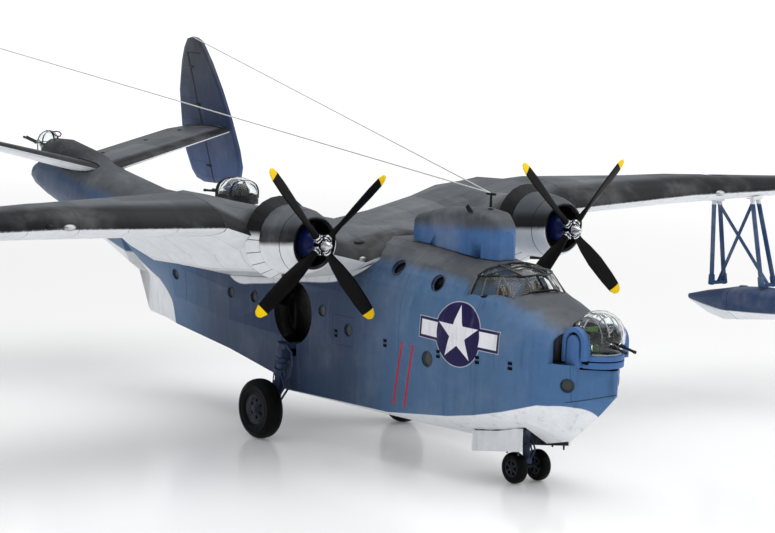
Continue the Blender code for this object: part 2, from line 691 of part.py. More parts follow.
def float_ring(section, centre_x):
    y, keel, chine_x, chine_z, deck_x, deck_z, top = section
    half = [(chine_x, chine_z), (deck_x, deck_z)]
    for step in range(1, 4):
        half.append(arc_point(deck_x, deck_z, top, math.pi / 2 * step / 4, 2.0))
    ring = [(centre_x, y, keel)] + [(centre_x + x, y, z) for x, z in half] + [(centre_x, y, top)]
    return ring + [(centre_x - x, y, z) for x, z in reversed(half)]


def make_floats():
    for side, sign in SIDES.items():
        middle = sign * FLOAT_X
        emit(f"float_{side}", loft([float_ring(row, middle) for row in FLOAT_SECTIONS]), "side_blue")
        pieces = []
        for top_y, top_z, low_y, low_z in (STRUT_REAR, STRUT_FRONT):
            for lean in (-1, 1):
                top = (middle + lean * STRUT_TOP_SPREAD, top_y, top_z)
                low = (middle + lean * STRUT_LOW_SPREAD, low_y, low_z)
                pieces.append(rod(top, low, STRUT_RADIUS, steps=10, flatten=0.6))
            pieces.append(block((middle, top_y, top_z), (0.34, 0.26, 0.16)))
            pieces.append(block((middle, low_y, low_z + 0.06), (0.54, 0.14, 0.08)))
        braces = []
        for upper, lower in ((STRUT_REAR, STRUT_FRONT), (STRUT_FRONT, STRUT_REAR)):
            top = (middle, upper[0], upper[1] - 0.06)
            low = (middle, lower[2], lower[3] + 0.06)
            braces.append(rod(top, low, BRACE_RADIUS, steps=8))
        struts = emit(f"float_struts_{side}", braces[0], "side_blue")
        join(struts, braces[1:] + pieces)
        cut(struts, "wing", wing_skin([(sign * row[0], *row[1:]) for row in OUTER_WING_SECTIONS], GAP))


def make_canopy():
    canopy = emit("canopy", canopy_solid(0.0, 0.0, 0.0, 0.0, 0.0), "clear", None, 20)
    cut(canopy, "inside", canopy_solid(-CANOPY_WALL, -2 * CANOPY_WALL, 0.1, -CANOPY_WALL, 0.2))


def make_cockpit():
    floor = TUB_FLOOR_Z + GAP
    for side, sign in SIDES.items():
        x = sign * SEAT_X
        seat = emit(f"seat_{side}", block((x, 3.34, floor + 0.21), (SEAT_WIDTH, 0.36, 0.42)), "seat_tan")
        join(seat, [block((x, 3.54, floor + 0.675), (SEAT_WIDTH, 0.12, 0.75))])
    front = TUB_FRONT_Y + GAP
    emit("instrument_panel", box((-0.7, front, floor + 0.35), (0.7, front + 0.08, floor + 0.84)), "dark_grey")


def cheek(sign, grow=0.0, outer_x=CHEEK_OUTER_X):
    """The rounded ear at one side of the bow turret's ring."""
    radius = CHEEK_RADIUS + grow
    outline = []
    for step in range(CHEEK_STEPS + 1):
        turn = math.pi * step / CHEEK_STEPS
        outline.append((CHEEK_Y + radius * math.cos(turn), CHEEK_Z + radius * math.sin(turn)))
    outline.append((CHEEK_Y - radius, CHEEK_FOOT_Z - grow))
    outline.append((CHEEK_Y + radius, CHEEK_FOOT_Z - grow))
    inner = sign * (CHEEK_INNER_X - grow)
    outer = sign * (outer_x + grow)
    return loft([[(x, y, z) for y, z in outline] for x in (inner, outer)])


def make_bow_turret():
    x, y, z = BOW_TURRET
    dome = emit("bow_dome", dome_shell(BOW_TURRET, BOW_TURRET_RADIUS, BOW_RING_TOP_Z + GAP, 22), "clear")
    inner = BOW_RING_RADIUS - BOW_RING_WALL
    profile = [
        (BOW_RING_TOP_Z, inner), (BOW_RING_TOP_Z, BOW_RING_RADIUS), (BOW_RING_FOOT_Z, BOW_RING_RADIUS),
        (BOW_RING_FOOT_Z, 0.0), (BOW_RING_FOOT_Z + 0.10, 0.0), (BOW_RING_FOOT_Z + 0.10, inner),
    ]
    ring = emit("bow_turret_ring", revolve(profile, (x, y, 0.0), "Z", 28), "side_blue")
    for side, sign in SIDES.items():
        cut(dome, f"cheek_{side}", cheek(sign, GAP))
    join(ring, [cheek(sign) for sign in SIDES.values()])
    shaft_end = CHEEK_INNER_X - GAP
    shaft = rod((-shaft_end, y, z), (shaft_end, y, z), 0.04, steps=8)
    guns = emit("bow_guns", shaft, "gun_metal")
    pieces = []
    for sign in SIDES.values():
        gun_x = sign * BOW_GUN_X
        pieces.append(box((gun_x - 0.05, y - 0.30, z - 0.12), (gun_x + 0.05, y + 0.10, z + 0.05)))
        start = (gun_x, y - 0.26, z - 0.08)
        tip = (gun_x, BOW_GUN_TIP_Y, z - 0.21)
        pieces.append(rod(start, tip, BARREL_RADIUS, steps=10))
        cut(dome, f"barrel_{gun_x:.2f}", rod(start, tip, BARREL_RADIUS + GAP, steps=10))
    join(guns, pieces)
    floor = BOW_RING_FOOT_Z + 0.10 + GAP
    pan = box((-0.18, y - 0.02, z - 0.26), (0.18, y + 0.24, z - 0.18))
    seat = emit("bow_seat", pan, "inside_green")
    back = box((-0.18, y + 0.17, z - 0.20), (0.18, y + 0.24, z + 0.16))
    join(seat, [rod((0.0, y + 0.08, floor), (0.0, y + 0.08, z - 0.22), 0.08, steps=8), back])


def make_dorsal_turret():
    x, y, z = DORSAL_TURRET
    ring_top = z + DORSAL_RING_RISE
    rim = DORSAL_RING_RADIUS
    ring_profile = [(0.02, 0.0), (0.02, rim), (DORSAL_RING_RISE, rim), (DORSAL_RING_RISE, 0.0)]
    emit("dorsal_ring", revolve(ring_profile, DORSAL_TURRET, "Z", 24), "dark_grey")
    base = Vector((x, y, ring_top + GAP))
    dome = emit("dorsal_dome", revolve(DORSAL_DOME_PROFILE, base, "Z", 24), "clear", base)
    cradle = box((-0.24, y - 0.14, base.z), (0.24, y + 0.14, base.z + 0.10))
    guns = emit("dorsal_guns", cradle, "gun_metal", base)
    pieces = []
    for sign in SIDES.values():
        gun_x = sign * DORSAL_GUN_X
        start = (gun_x, y + 0.10, base.z + 0.14)
        tip = (gun_x, DORSAL_GUN_TIP_Y, base.z + 0.09)
        pieces.append(box((gun_x - 0.05, y - 0.26, base.z + 0.06), (gun_x + 0.05, y + 0.26, base.z + 0.22)))
        pieces.append(rod(start, tip, BARREL_RADIUS, steps=10))
        cut(dome, f"barrel_{gun_x:.2f}", rod(start, tip, BARREL_RADIUS + GAP, steps=10))
    join(guns, pieces)


def quarter_arc(radius):
    """Height and radius pairs up a ball's side to its top."""
    turns = [math.pi / 2 * step / TAIL_DOME_STEPS for step in range(TAIL_DOME_STEPS)]
    return [(radius * math.sin(turn), radius * math.cos(turn)) for turn in turns] + [(radius, 0.0)]


def make_tail_turret():
    x, y, z = TAIL_TURRET
    low = TAIL_RING_TOP_Z + GAP - z
    outer = [(low, TAIL_DOME_RADIUS)] + quarter_arc(TAIL_DOME_RADIUS)
    inner = [(low, TAIL_DOME_RADIUS - DOME_WALL)] + quarter_arc(TAIL_DOME_RADIUS - DOME_WALL)
    dome = emit("tail_dome", revolve(outer + inner[::-1], TAIL_TURRET, "Z", 20), "clear")
    ring_profile = [(0.0, 0.0), (0.0, 0.32), (0.04, 0.32), (0.04, 0.0)]
    ring_foot = Vector((x, y, TAIL_RING_TOP_Z - 0.04))
    ring = emit("tail_turret_ring", revolve(ring_profile, ring_foot, "Z", 24), "inside_green")
    join(ring, [box((-0.20, y - 0.20, 5.30), (0.20, y + 0.20, TAIL_RING_TOP_Z - 0.02))])
    cut(ring, "deck", loft([hull_ring(grown_row(row)) for row in HULL_SECTIONS[-3:]]))
    cradle = box((-0.16, y - 0.12, TAIL_RING_TOP_Z + GAP), (0.16, y + 0.12, TAIL_RING_TOP_Z + 0.34))
    guns = emit("tail_guns", cradle, "gun_metal")
    pieces = []
    for sign in SIDES.values():
        gun_x = sign * TAIL_GUN_X
        start = (gun_x, y, TAIL_RING_TOP_Z + 0.30)
        tip = (gun_x, TAIL_GUN_TIP_Y, TAIL_RING_TOP_Z + 0.50)
        pieces.append(rod(start, tip, BARREL_RADIUS, steps=10))
        cut(dome, f"barrel_{gun_x:.2f}", rod(start, tip, BARREL_RADIUS + GAP, steps=10))
    join(guns, pieces)


def grown_row(row):
    """A hull section standing out by the gap all round."""
    y, keel, chine_x, chine_z, waist_x, waist_z, side_x, side_z, top = row
    return (y, keel, chine_x, chine_z, waist_x, waist_z, side_x + GAP, side_z, top + GAP)


def wheel_profile(middle, width, radius):
    return [(middle + across * width, share * radius) for across, share in TYRE_PROFILE]


def hub_profile(middle, width, radius):
    face = HUB_FACE_SHARE * width
    rim = HUB_SHARE * radius - GAP
    return [(middle - face, 0.0), (middle - face, rim), (middle + face, rim), (middle + face, 0.0)]


def make_main_gear(side, sign):
    axle_z = MAIN_TYRE_RADIUS
    centre = Vector((sign * MAIN_WHEEL_X, MAIN_WHEEL_Y, axle_z))
    tyre = revolve(wheel_profile(0.0, MAIN_TYRE_WIDTH, MAIN_TYRE_RADIUS), centre, "X", 36)
    emit(f"main_tyre_{side}", tyre, "tyre_black", centre)
    hub = revolve(hub_profile(0.0, MAIN_TYRE_WIDTH, MAIN_TYRE_RADIUS), centre, "X", 24)
    emit(f"main_hub_{side}", hub, "wheel_blue", centre)
    leg_x = sign * MAIN_LEG_X
    top = (leg_x, MAIN_WHEEL_Y - MAIN_LEG_RAKE, MAIN_LEG_TOP_Z)
    strut = rod(top, (leg_x, MAIN_WHEEL_Y, axle_z - 0.10), 0.10, steps=12)
    leg = emit(f"main_leg_{side}", strut, "gear_blue")
    hub_face_x = sign * (MAIN_WHEEL_X - HUB_FACE_SHARE * MAIN_TYRE_WIDTH - GAP)
    root_y = MAIN_WHEEL_Y - MAIN_LEG_RAKE
    join(leg, [
        rod((leg_x, MAIN_WHEEL_Y, axle_z), (hub_face_x, MAIN_WHEEL_Y, axle_z), 0.07),
        rod((leg_x, root_y, 2.22), (sign * 1.30, root_y - 0.07, 2.22), 0.08),
        rod((leg_x, root_y - 0.08, 1.62), (leg_x, root_y - 0.02, 1.20), 0.04, steps=8),
        rod((leg_x, root_y - 0.08, 1.62), (leg_x, root_y + 0.10, 1.78), 0.04, steps=8),
        rod((leg_x, root_y - 0.02, 1.20), (leg_x, MAIN_WHEEL_Y, 1.02), 0.04, steps=8),
    ])


def make_nose_gear():
    axle_z = NOSE_TYRE_RADIUS
    centre = Vector((0.0, NOSE_WHEEL_Y, axle_z))
    wheels = []
    for side, sign in SIDES.items():
        middle = sign * NOSE_WHEEL_X
        tyre = revolve(wheel_profile(middle, NOSE_TYRE_WIDTH, NOSE_TYRE_RADIUS), centre, "X", 28)
        emit(f"nose_tyre_{side}", tyre, "tyre_black", centre)
        wheels.append(revolve(hub_profile(middle, NOSE_TYRE_WIDTH, NOSE_TYRE_RADIUS), centre, "X", 20))
    axle_end = NOSE_WHEEL_X + 0.08
    axle = rod((-axle_end, NOSE_WHEEL_Y, axle_z), (axle_end, NOSE_WHEEL_Y, axle_z), NOSE_AXLE_RADIUS)
    join(emit("nose_wheel_hubs", axle, "wheel_blue", centre), wheels)
    foot = (0.0, NOSE_WHEEL_Y, axle_z + NOSE_AXLE_RADIUS + GAP)
    top = (0.0, NOSE_WHEEL_Y + 0.10, BAY_TOP_Z - GAP)
    emit("nose_leg", rod(foot, top, 0.085, steps=12), "gear_blue")
    for side, sign in SIDES.items():
        near = sign * (BAY_HALF_WIDTH + GAP)
        rings = [[(x, y, z) for y, z in NOSE_DOOR_OUTLINE] for x in (near, near + sign * DOOR_THICKNESS)]
        emit(f"nose_door_{side}", loft(rings), "under_white")


def radome_ring(row):
    y, half_width, top = row
    base = RADOME_FOOT_Z + 0.06 * (y - RADOME_SECTIONS[0][0])
    lift = min(0.3, (top - base) / 2)
    half = [(half_width, base), (half_width, (base + top) / 2)]
    for step in range(1, 5):
        turn = math.pi / 2 * step / 5
        half.append((half_width * math.cos(turn) ** 0.7, top - lift + lift * math.sin(turn) ** 0.7))
    ring = [(x, y, z) for x, z in half] + [(0.0, y, top)]
    return ring + [(-x, y, z) for x, z in reversed(half)]


def make_radome():
    radome = emit("radome", loft([radome_ring(row) for row in RADOME_SECTIONS]), "side_blue")
    cut(radome, "seat", loft([hull_ring(grown_row(row)) for row in HULL_SECTIONS]))
    foot, top = MAST_FOOT, MAST_TOP
    mast = emit("aerial_mast", rod(foot, top, 0.035, 0.025, 8), "dark_grey")
    bar = box((-0.03, top[1] - 0.14, top[2] - 0.03), (0.03, top[1] + 0.14, top[2] + 0.02))
    join(mast, [bar])
    fin = rod(BLADE_AERIAL_FOOT, BLADE_AERIAL_TOP, 0.09, 0.06, 10, 0.4)
    blade_aerial = emit("blade_aerial", fin, "dark_grey")
    cut(blade_aerial, "seat", loft([radome_ring(grown_radome(row)) for row in RADOME_SECTIONS]))


def grown_radome(row):
    y, half_width, top = row
    return (y, half_width + GAP, top + GAP)


def main():
    clear_scene()
    make_materials()
    make_hull()
    make_wings()
    make_engines()
    make_propellers()
    make_tail()
    make_floats()
    make_canopy()
    make_cockpit()
    make_bow_turret()
    make_dorsal_turret()
    make_tail_turret()
    for side, sign in SIDES.items():
        make_main_gear(side, sign)
    make_nose_gear()
    make_radome()


main()
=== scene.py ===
"""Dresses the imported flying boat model: paint, markings, glazing, engines, turrets, gear and wires.

Sizes are those of the full-size aircraft in metres, with y = 0 at the front of the bow dome, y
growing aft, x = 0 on the centre plane with port at +x, and z = 0 on the ground. Each mesh is
made at that size and brought to the model's own frame when it is finished.
"""

import json
import logging
import math
from dataclasses import dataclass, field
from enum import Enum
from typing import Callable, Iterable, Optional, Sequence, Union

import bmesh
import bpy
from mathutils import Matrix, Vector
from mathutils.bvhtree import BVHTree


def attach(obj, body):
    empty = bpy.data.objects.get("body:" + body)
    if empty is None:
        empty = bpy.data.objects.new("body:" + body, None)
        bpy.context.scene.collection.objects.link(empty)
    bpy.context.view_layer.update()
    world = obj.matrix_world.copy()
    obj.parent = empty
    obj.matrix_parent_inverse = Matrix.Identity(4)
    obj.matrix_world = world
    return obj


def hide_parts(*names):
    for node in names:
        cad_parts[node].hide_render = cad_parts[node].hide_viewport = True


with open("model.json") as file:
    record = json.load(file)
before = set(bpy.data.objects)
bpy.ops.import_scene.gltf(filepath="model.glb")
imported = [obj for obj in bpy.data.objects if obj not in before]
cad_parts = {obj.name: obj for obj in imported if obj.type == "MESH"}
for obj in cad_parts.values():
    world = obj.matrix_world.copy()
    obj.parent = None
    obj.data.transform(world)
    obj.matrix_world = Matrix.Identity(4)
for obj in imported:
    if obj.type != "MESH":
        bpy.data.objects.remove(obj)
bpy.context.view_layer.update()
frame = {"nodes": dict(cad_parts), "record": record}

SCALE = 1.0 / 72.0
MIDDLE_Y = 12.36
TO_MODEL = Matrix.Scale(SCALE, 4) @ Matrix.Translation((0.0, -MIDDLE_Y, 0.0))
SIDES = {"port": 1, "starboard": -1}
AIRFRAME = "airframe"

Socket = bpy.types.NodeSocket
Value = Union[Socket, float, Sequence[float]]
Colour = tuple[float, float, float]

log = logging.getLogger("flying_boat")


def shade(red: int, green: int, blue: int) -> Colour:
    """The linear colour of a paint given as it looks on a screen.

    Args:
        red: Its red, from 0 to 255.
        green: Its green, from 0 to 255.
        blue: Its blue, from 0 to 255.

    Returns:
        The three linear shares that a shader takes.
    """
    shares = (part / 255.0 for part in (red, green, blue))
    return tuple(part / 12.92 if part <= 0.04045 else ((part + 0.055) / 1.055) ** 2.4 for part in shares)


class Wiring:
    """Lays shader nodes in one tree and joins their sockets."""

    def __init__(self, tree: bpy.types.NodeTree) -> None:
        """Starts on a tree.

        Args:
            tree: The material's or the group's own node tree.
        """
        self.tree = tree

    def feed(self, socket: Socket, value: Value) -> None:
        """Joins a socket to another, or sets its own value.

        Args:
            socket: The input to fill.
            value: An output socket, a number, or a colour or vector.
        """
        if isinstance(value, Socket):
            self.tree.links.new(value, socket)
        elif isinstance(value, (int, float)):
            socket.default_value = value
        elif socket.type == "RGBA" and len(value) == 3:
            socket.default_value = (*value, 1.0)
        else:
            socket.default_value = value

    def math(self, operation: str, *values: Value) -> Socket:
        """The output of a Math node.

        Args:
            operation: The node's operation, such as MULTIPLY.
            values: Its inputs in order.

        Returns:
            The result's socket.
        """
        node = self.tree.nodes.new("ShaderNodeMath")
        node.operation = operation
        for socket, value in zip(node.inputs, values):
            self.feed(socket, value)
        return node.outputs[0]

    def total(self, *values: Value) -> Socket:
        """The sum of two or more values."""
        result = values[0]
        for value in values[1:]:
            result = self.math("ADD", result, value)
        return result

    def product(self, *values: Value) -> Socket:
        """The product of two or more values."""
        result = values[0]
        for value in values[1:]:
            result = self.math("MULTIPLY", result, value)
        return result

    def largest(self, *values: Value) -> Socket:
        """The largest of two or more values."""
        result = values[0]
        for value in values[1:]:
            result = self.math("MAXIMUM", result, value)
        return result

    def inverse(self, value: Value) -> Socket:
        """One minus a value."""
        return self.math("SUBTRACT", 1.0, value)

    def step(self, value: Value, start: float, end: float) -> Socket:
        """A smooth rise from 0 to 1 as a value goes from start to end.

        Args:
            value: The value that is tested.
            start: Where the rise begins, above end for a fall.
            end: Where it is complete.

        Returns:
            The share's socket.
        """
        node = self.tree.nodes.new("ShaderNodeMapRange")
        node.interpolation_type = "SMOOTHSTEP"
        if start > end:
            return self.inverse(self.step(value, end, start))
        for name, item in (("Value", value), ("From Min", start), ("From Max", end)):
            self.feed(node.inputs[name], item)
        return node.outputs["Result"]

    def within(self, value: Value, low: float, high: float, soft: float) -> Socket:
        """One between low and high, and nought outside, with soft edges.

        Args:
            value: The value that is tested.
            low: The band's start.
            high: The band's end.
            soft: The width of each edge.

        Returns:
            The band's mask.
        """
        rise = self.step(value, low - soft, low + soft)
        return self.product(rise, self.step(value, high + soft, high - soft))

    def blend(self, below: Value, above: Value, share: Value, kind: str = "MIX") -> Socket:
        """One colour laid over another.

        Args:
            below: The colour at a share of nought.
            above: The colour at a share of one.
            share: How much of the upper one shows.
            kind: The blend type of the node.

        Returns:
            The mixed colour's socket.
        """
        node = self.tree.nodes.new("ShaderNodeMix")
        node.data_type = "RGBA"
        node.blend_type = kind
        self.feed(node.inputs[0], share)
        self.feed(node.inputs[6], below)
        self.feed(node.inputs[7], above)
        return node.outputs[2]

    def noise(self, place: Socket, size: float, detail: float = 3.0, rough: float = 0.55) -> Socket:
        """Cloudy values between 0 and 1.

        Args:
            place: The vector that it is read at.
            size: How many clouds lie along one unit.
            detail: How many finer layers it has.
            rough: How strong the finer layers are.

        Returns:
            The value's socket.
        """
        node = self.tree.nodes.new("ShaderNodeTexNoise")
        for name, item in (("Vector", place), ("Scale", size), ("Detail", detail), ("Roughness", rough)):
            self.feed(node.inputs[name], item)
        return node.outputs["Fac"]

    def cells(self, place: Socket, size: float) -> Socket:
        """The distance to the nearest of scattered points."""
        node = self.tree.nodes.new("ShaderNodeTexVoronoi")
        self.feed(node.inputs["Vector"], place)
        self.feed(node.inputs["Scale"], size)
        return node.outputs["Distance"]

    def stretch(self, place: Socket, scale: Sequence[float]) -> Socket:
        """A vector with each of its parts scaled."""
        node = self.tree.nodes.new("ShaderNodeVectorMath")
        node.operation = "MULTIPLY"
        self.feed(node.inputs[0], place)
        self.feed(node.inputs[1], scale)
        return node.outputs[0]

    def parts(self, place: Socket) -> tuple[Socket, Socket, Socket]:
        """The x, y and z of a vector."""
        node = self.tree.nodes.new("ShaderNodeSeparateXYZ")
        self.feed(node.inputs[0], place)
        return node.outputs[0], node.outputs[1], node.outputs[2]

    def vector(self, x: Value, y: Value, z: Value = 0.0) -> Socket:
        """A vector of three values."""
        node = self.tree.nodes.new("ShaderNodeCombineXYZ")
        for socket, value in zip(node.inputs, (x, y, z)):
            self.feed(socket, value)
        return node.outputs[0]

    def profile(self, value: Socket, points: Sequence[tuple[float, float]], soft: bool = True) -> Socket:
        """A height read from a drawn curve, such as a paint border along the hull.

        Args:
            value: Where along the curve it is read.
            points: The curve's points, along and up, in metres.
            soft: Whether the curve is rounded between its points.

        Returns:
            The height's socket, in metres.
        """
        start, end = points[0][0], points[-1][0]
        low = min(up for _, up in points)
        high = max(max(up for _, up in points), low + 0.01)
        share = self.tree.nodes.new("ShaderNodeMapRange")
        for name, item in (("Value", value), ("From Min", start), ("From Max", end)):
            self.feed(share.inputs[name], item)
        node = self.tree.nodes.new("ShaderNodeFloatCurve")
        self.feed(node.inputs["Value"], share.outputs["Result"])
        drawn = node.mapping.curves[0]
        while len(drawn.points) < len(points):
            drawn.points.new(0.5, 0.5)
        placed = [((along - start) / (end - start), (up - low) / (high - low)) for along, up in points]
        for point, place in zip(drawn.points, placed):
            point.location = place
            point.handle_type = "AUTO" if soft else "VECTOR"
        node.mapping.update()
        return self.total(self.product(node.outputs["Value"], high - low), low)

    def group(self, name: str, **values: Value) -> bpy.types.Node:
        """Places one of the shared effects.

        Args:
            name: The node group's name.
            values: Its inputs by name, with _ for a space.

        Returns:
            The group's node.
        """
        node = self.tree.nodes.new("ShaderNodeGroup")
        node.node_tree = bpy.data.node_groups[name]
        for key, value in values.items():
            self.feed(node.inputs[key.replace("_", " ").capitalize()], value)
        return node


@dataclass(frozen=True)
class Effect:
    """A shared shading effect, made once as a node group with named sockets."""

    name: str
    inputs: tuple[tuple[str, str, float], ...]
    outputs: tuple[tuple[str, str], ...]

    def lay(self, w: Wiring, taken: dict[str, Socket]) -> tuple[Value, ...]:
        """Lays the effect's nodes.

        Args:
            w: The wiring of the group's tree.
            taken: The group's inputs by name.

        Returns:
            The outputs' values in order.
        """
        raise NotImplementedError

    def make(self) -> None:
        """Builds the node group under the effect's name."""
        tree = bpy.data.node_groups.new(self.name, "ShaderNodeTree")
        for name, kind, start in self.inputs:
            socket = tree.interface.new_socket(name, in_out="INPUT", socket_type=f"NodeSocket{kind}")
            if kind == "Float":
                socket.default_value = start
        for name, kind in self.outputs:
            tree.interface.new_socket(name, in_out="OUTPUT", socket_type=f"NodeSocket{kind}")
        w = Wiring(tree)
        entry = tree.nodes.new("NodeGroupInput")
        taken = {name: entry.outputs[name] for name, _, _ in self.inputs}
        exit_node = tree.nodes.new("NodeGroupOutput")
        for (name, _), value in zip(self.outputs, self.lay(w, taken)):
            w.feed(exit_node.inputs[name], value)


class AgedPaint(Effect):
    """Sprayed paint that sun and rain have faded, with streaks down the sides and a fine tooth."""

    def lay(self, w: Wiring, taken: dict[str, Socket]) -> tuple[Value, ...]:
        """Lays clouds of fading, rain streaks, mottling and a grain.

        Args:
            w: The wiring of the group's tree.
            taken: Colour, place and the three strengths.

        Returns:
            The aged colour, its roughness and its height.
        """
        place = taken["Place"]
        clouds = w.noise(place, 0.55, 4.0, 0.6)
        mottle = w.noise(place, 3.2, 3.0, 0.6)
        grain = w.noise(place, 26.0, 2.0, 0.7)
        rain = w.noise(w.stretch(place, (5.0, 5.0, 0.42)), 1.0, 3.0, 0.6)
        faded = w.blend(taken["Colour"], (0.55, 0.57, 0.60), w.product(taken["Fade"], w.step(clouds, 0.46, 0.78)))
        dark = w.product(w.step(rain, 0.54, 0.75), taken["Streaks"])
        streaked = w.blend(faded, (0.012, 0.013, 0.016), dark)
        light = w.product(w.step(rain, 0.45, 0.26), taken["Streaks"], 0.22)
        washed = w.blend(streaked, (0.50, 0.52, 0.55), light)
        soft = w.total(0.86, w.product(mottle, 0.28))
        colour = w.blend(washed, w.vector(soft, soft, soft), 1.0, "MULTIPLY")
        fine = w.total(0.93, w.product(grain, 0.14))
        colour = w.blend(colour, w.vector(fine, fine, fine), 1.0, "MULTIPLY")
        rough = w.total(-0.08, w.product(mottle, 0.16))
        height = w.product(w.total(w.product(grain, 0.35), w.product(mottle, 0.65)), taken["Relief"])
        return colour, rough, height


class SeamLines(Effect):
    """Engraved lines at an even pitch along one direction."""

    def lay(self, w: Wiring, taken: dict[str, Socket]) -> tuple[Value, ...]:
        """Lays the distance to the nearest line and cuts it to the line's width.

        Args:
            w: The wiring of the group's tree.
            taken: Along, pitch, start and width, all in metres.

        Returns:
            The lines' mask.
        """
        along = w.math("DIVIDE", w.math("SUBTRACT", taken["Along"], taken["Start"]), taken["Pitch"])
        nearest = w.math("ABSOLUTE", w.math("SUBTRACT", along, w.math("ROUND", along)))
        apart = w.product(nearest, taken["Pitch"])
        share = w.math("DIVIDE", apart, taken["Width"])
        return (w.step(share, 0.9, 0.35),)


class StarAndBar(Effect):
    """The traditional five pointed star on a disc, with a bar to each side."""

    def lay(self, w: Wiring, taken: dict[str, Socket]) -> tuple[Value, ...]:
        """Lays disc, bars and star from their formulas, in disc radii.

        Args:
            w: The wiring of the group's tree.
            taken: Along and up from the disc's centre, in disc radii.

        Returns:
            The masks of the dark field, of the white parts and of the pale rim round the field.
        """
        along, up = taken["Along"], taken["Up"]
        away = w.math("SQRT", w.total(w.product(along, along), w.product(up, up)))
        turn = w.math("ARCTAN2", along, up)
        point_turn = math.tau / 5
        folded = w.math("PINGPONG", w.total(turn, 2 * point_turn), point_turn / 2)
        along_point = w.product(away, w.math("COSINE", folded))
        across_point = w.product(away, w.math("SINE", folded))
        notch = 0.382 * STAR_RADIUS
        notch_along, notch_across = notch * math.cos(point_turn / 2), notch * math.sin(point_turn / 2)
        side = w.product(across_point, STAR_RADIUS - notch_along)
        lean = w.product(w.math("SUBTRACT", along_point, STAR_RADIUS), notch_across)
        star = w.step(w.total(side, lean), 0.006, -0.006)
        reach, tall = w.math("ABSOLUTE", along), w.math("ABSOLUTE", up)

        def bars(length: float, half: float) -> Socket:
            """The mask of both bars out to a length and a half height."""
            return w.product(w.step(reach, length, length - 0.02), w.step(tall, half, half - 0.02))

        disc = w.step(away, 1.0, 0.98)
        field = w.largest(disc, bars(BAR_REACH, BAR_HALF_HEIGHT))
        white_bars = w.product(bars(BAR_REACH - BAR_RIM, BAR_HALF_HEIGHT - BAR_RIM), w.step(reach, 0.90, 0.92))
        white = w.largest(star, w.product(white_bars, w.step(away, 0.93, 0.95)))
        rim = w.largest(w.step(away, 1.03, 1.01), bars(BAR_REACH + 0.025, BAR_HALF_HEIGHT + 0.025))
        return field, white, rim


STAR_RADIUS = 0.91
BAR_REACH = 1.76
BAR_HALF_HEIGHT = 0.335
BAR_RIM = 0.085
EFFECTS = (
    AgedPaint(
        "aged paint",
        (("Colour", "Color", 0.0), ("Place", "Vector", 0.0), ("Fade", "Float", 0.3), ("Streaks", "Float", 0.2),
         ("Relief", "Float", 0.5)),
        (("Colour", "Color"), ("Roughness", "Float"), ("Height", "Float")),
    ),
    SeamLines(
        "seam lines",
        (("Along", "Float", 0.0), ("Pitch", "Float", 1.0), ("Start", "Float", 0.0), ("Width", "Float", 0.02)),
        (("Mask", "Float"),),
    ),
    StarAndBar(
        "star and bar",
        (("Along", "Float", 0.0), ("Up", "Float", 0.0)),
        (("Field", "Float"), ("White", "Float"), ("Rim", "Float")),
    ),
)


class Tone(Enum):
    SIDE_BLUE = shade(76, 107, 143)
    DEEP_BLUE = shade(47, 60, 85)
    TOP_GREY = shade(76, 80, 85)
    NEAR_BLACK = shade(26, 28, 31)
    UNDER_WHITE = shade(228, 231, 235)
    FIELD_BLUE = shade(32, 26, 74)
    STRIPE_RED = shade(176, 40, 54)
    TIP_YELLOW = shade(240, 200, 20)
    BLADE_BLACK = shade(9, 9, 10)
    TYRE_BLACK = shade(9, 9, 10)
    HUB_BLUE = shade(32, 36, 48)
    GEAR_BLUE = shade(50, 62, 88)
    CASE_BLUE = shade(20, 30, 80)
    SILVER = shade(206, 208, 212)
    TURRET_GREEN = shade(84, 124, 52)
    SEAT_TAN = shade(70, 55, 42)
    GUN_GREY = shade(40, 41, 44)
    STRUT_BLUE = shade(40, 72, 112)
    # Near-black: the cylinders' own black paint, and painted shade in the wells, the nose bay, the cockpit, the cowls'
    # mouths, dark windows and gaps, and part of the wings' leading edges.
    BLACK_AND_SHADE = shade(7, 7, 8)
    FLOAT_BLUE = shade(52, 70, 104)
    NOSE_BLUE = shade(70, 108, 160)
    STEEL = shade(168, 170, 172)
    FRAME_GREY = shade(96, 98, 100)
    BELT = shade(130, 120, 98)
    WIRE = shade(196, 197, 198)
    # Dark grey-green of the portholes' panes, partly painted shade of the hull's dark inside.
    PORTHOLE_GLASS_AND_SHADE = shade(66, 70, 64)


@dataclass(frozen=True)
class Coat:
    """What a paint's pattern gives: its colour, its engraved lines and where it is bare or glossy."""

    colour: Value
    lines: Optional[Socket] = None
    worn: Optional[Socket] = None


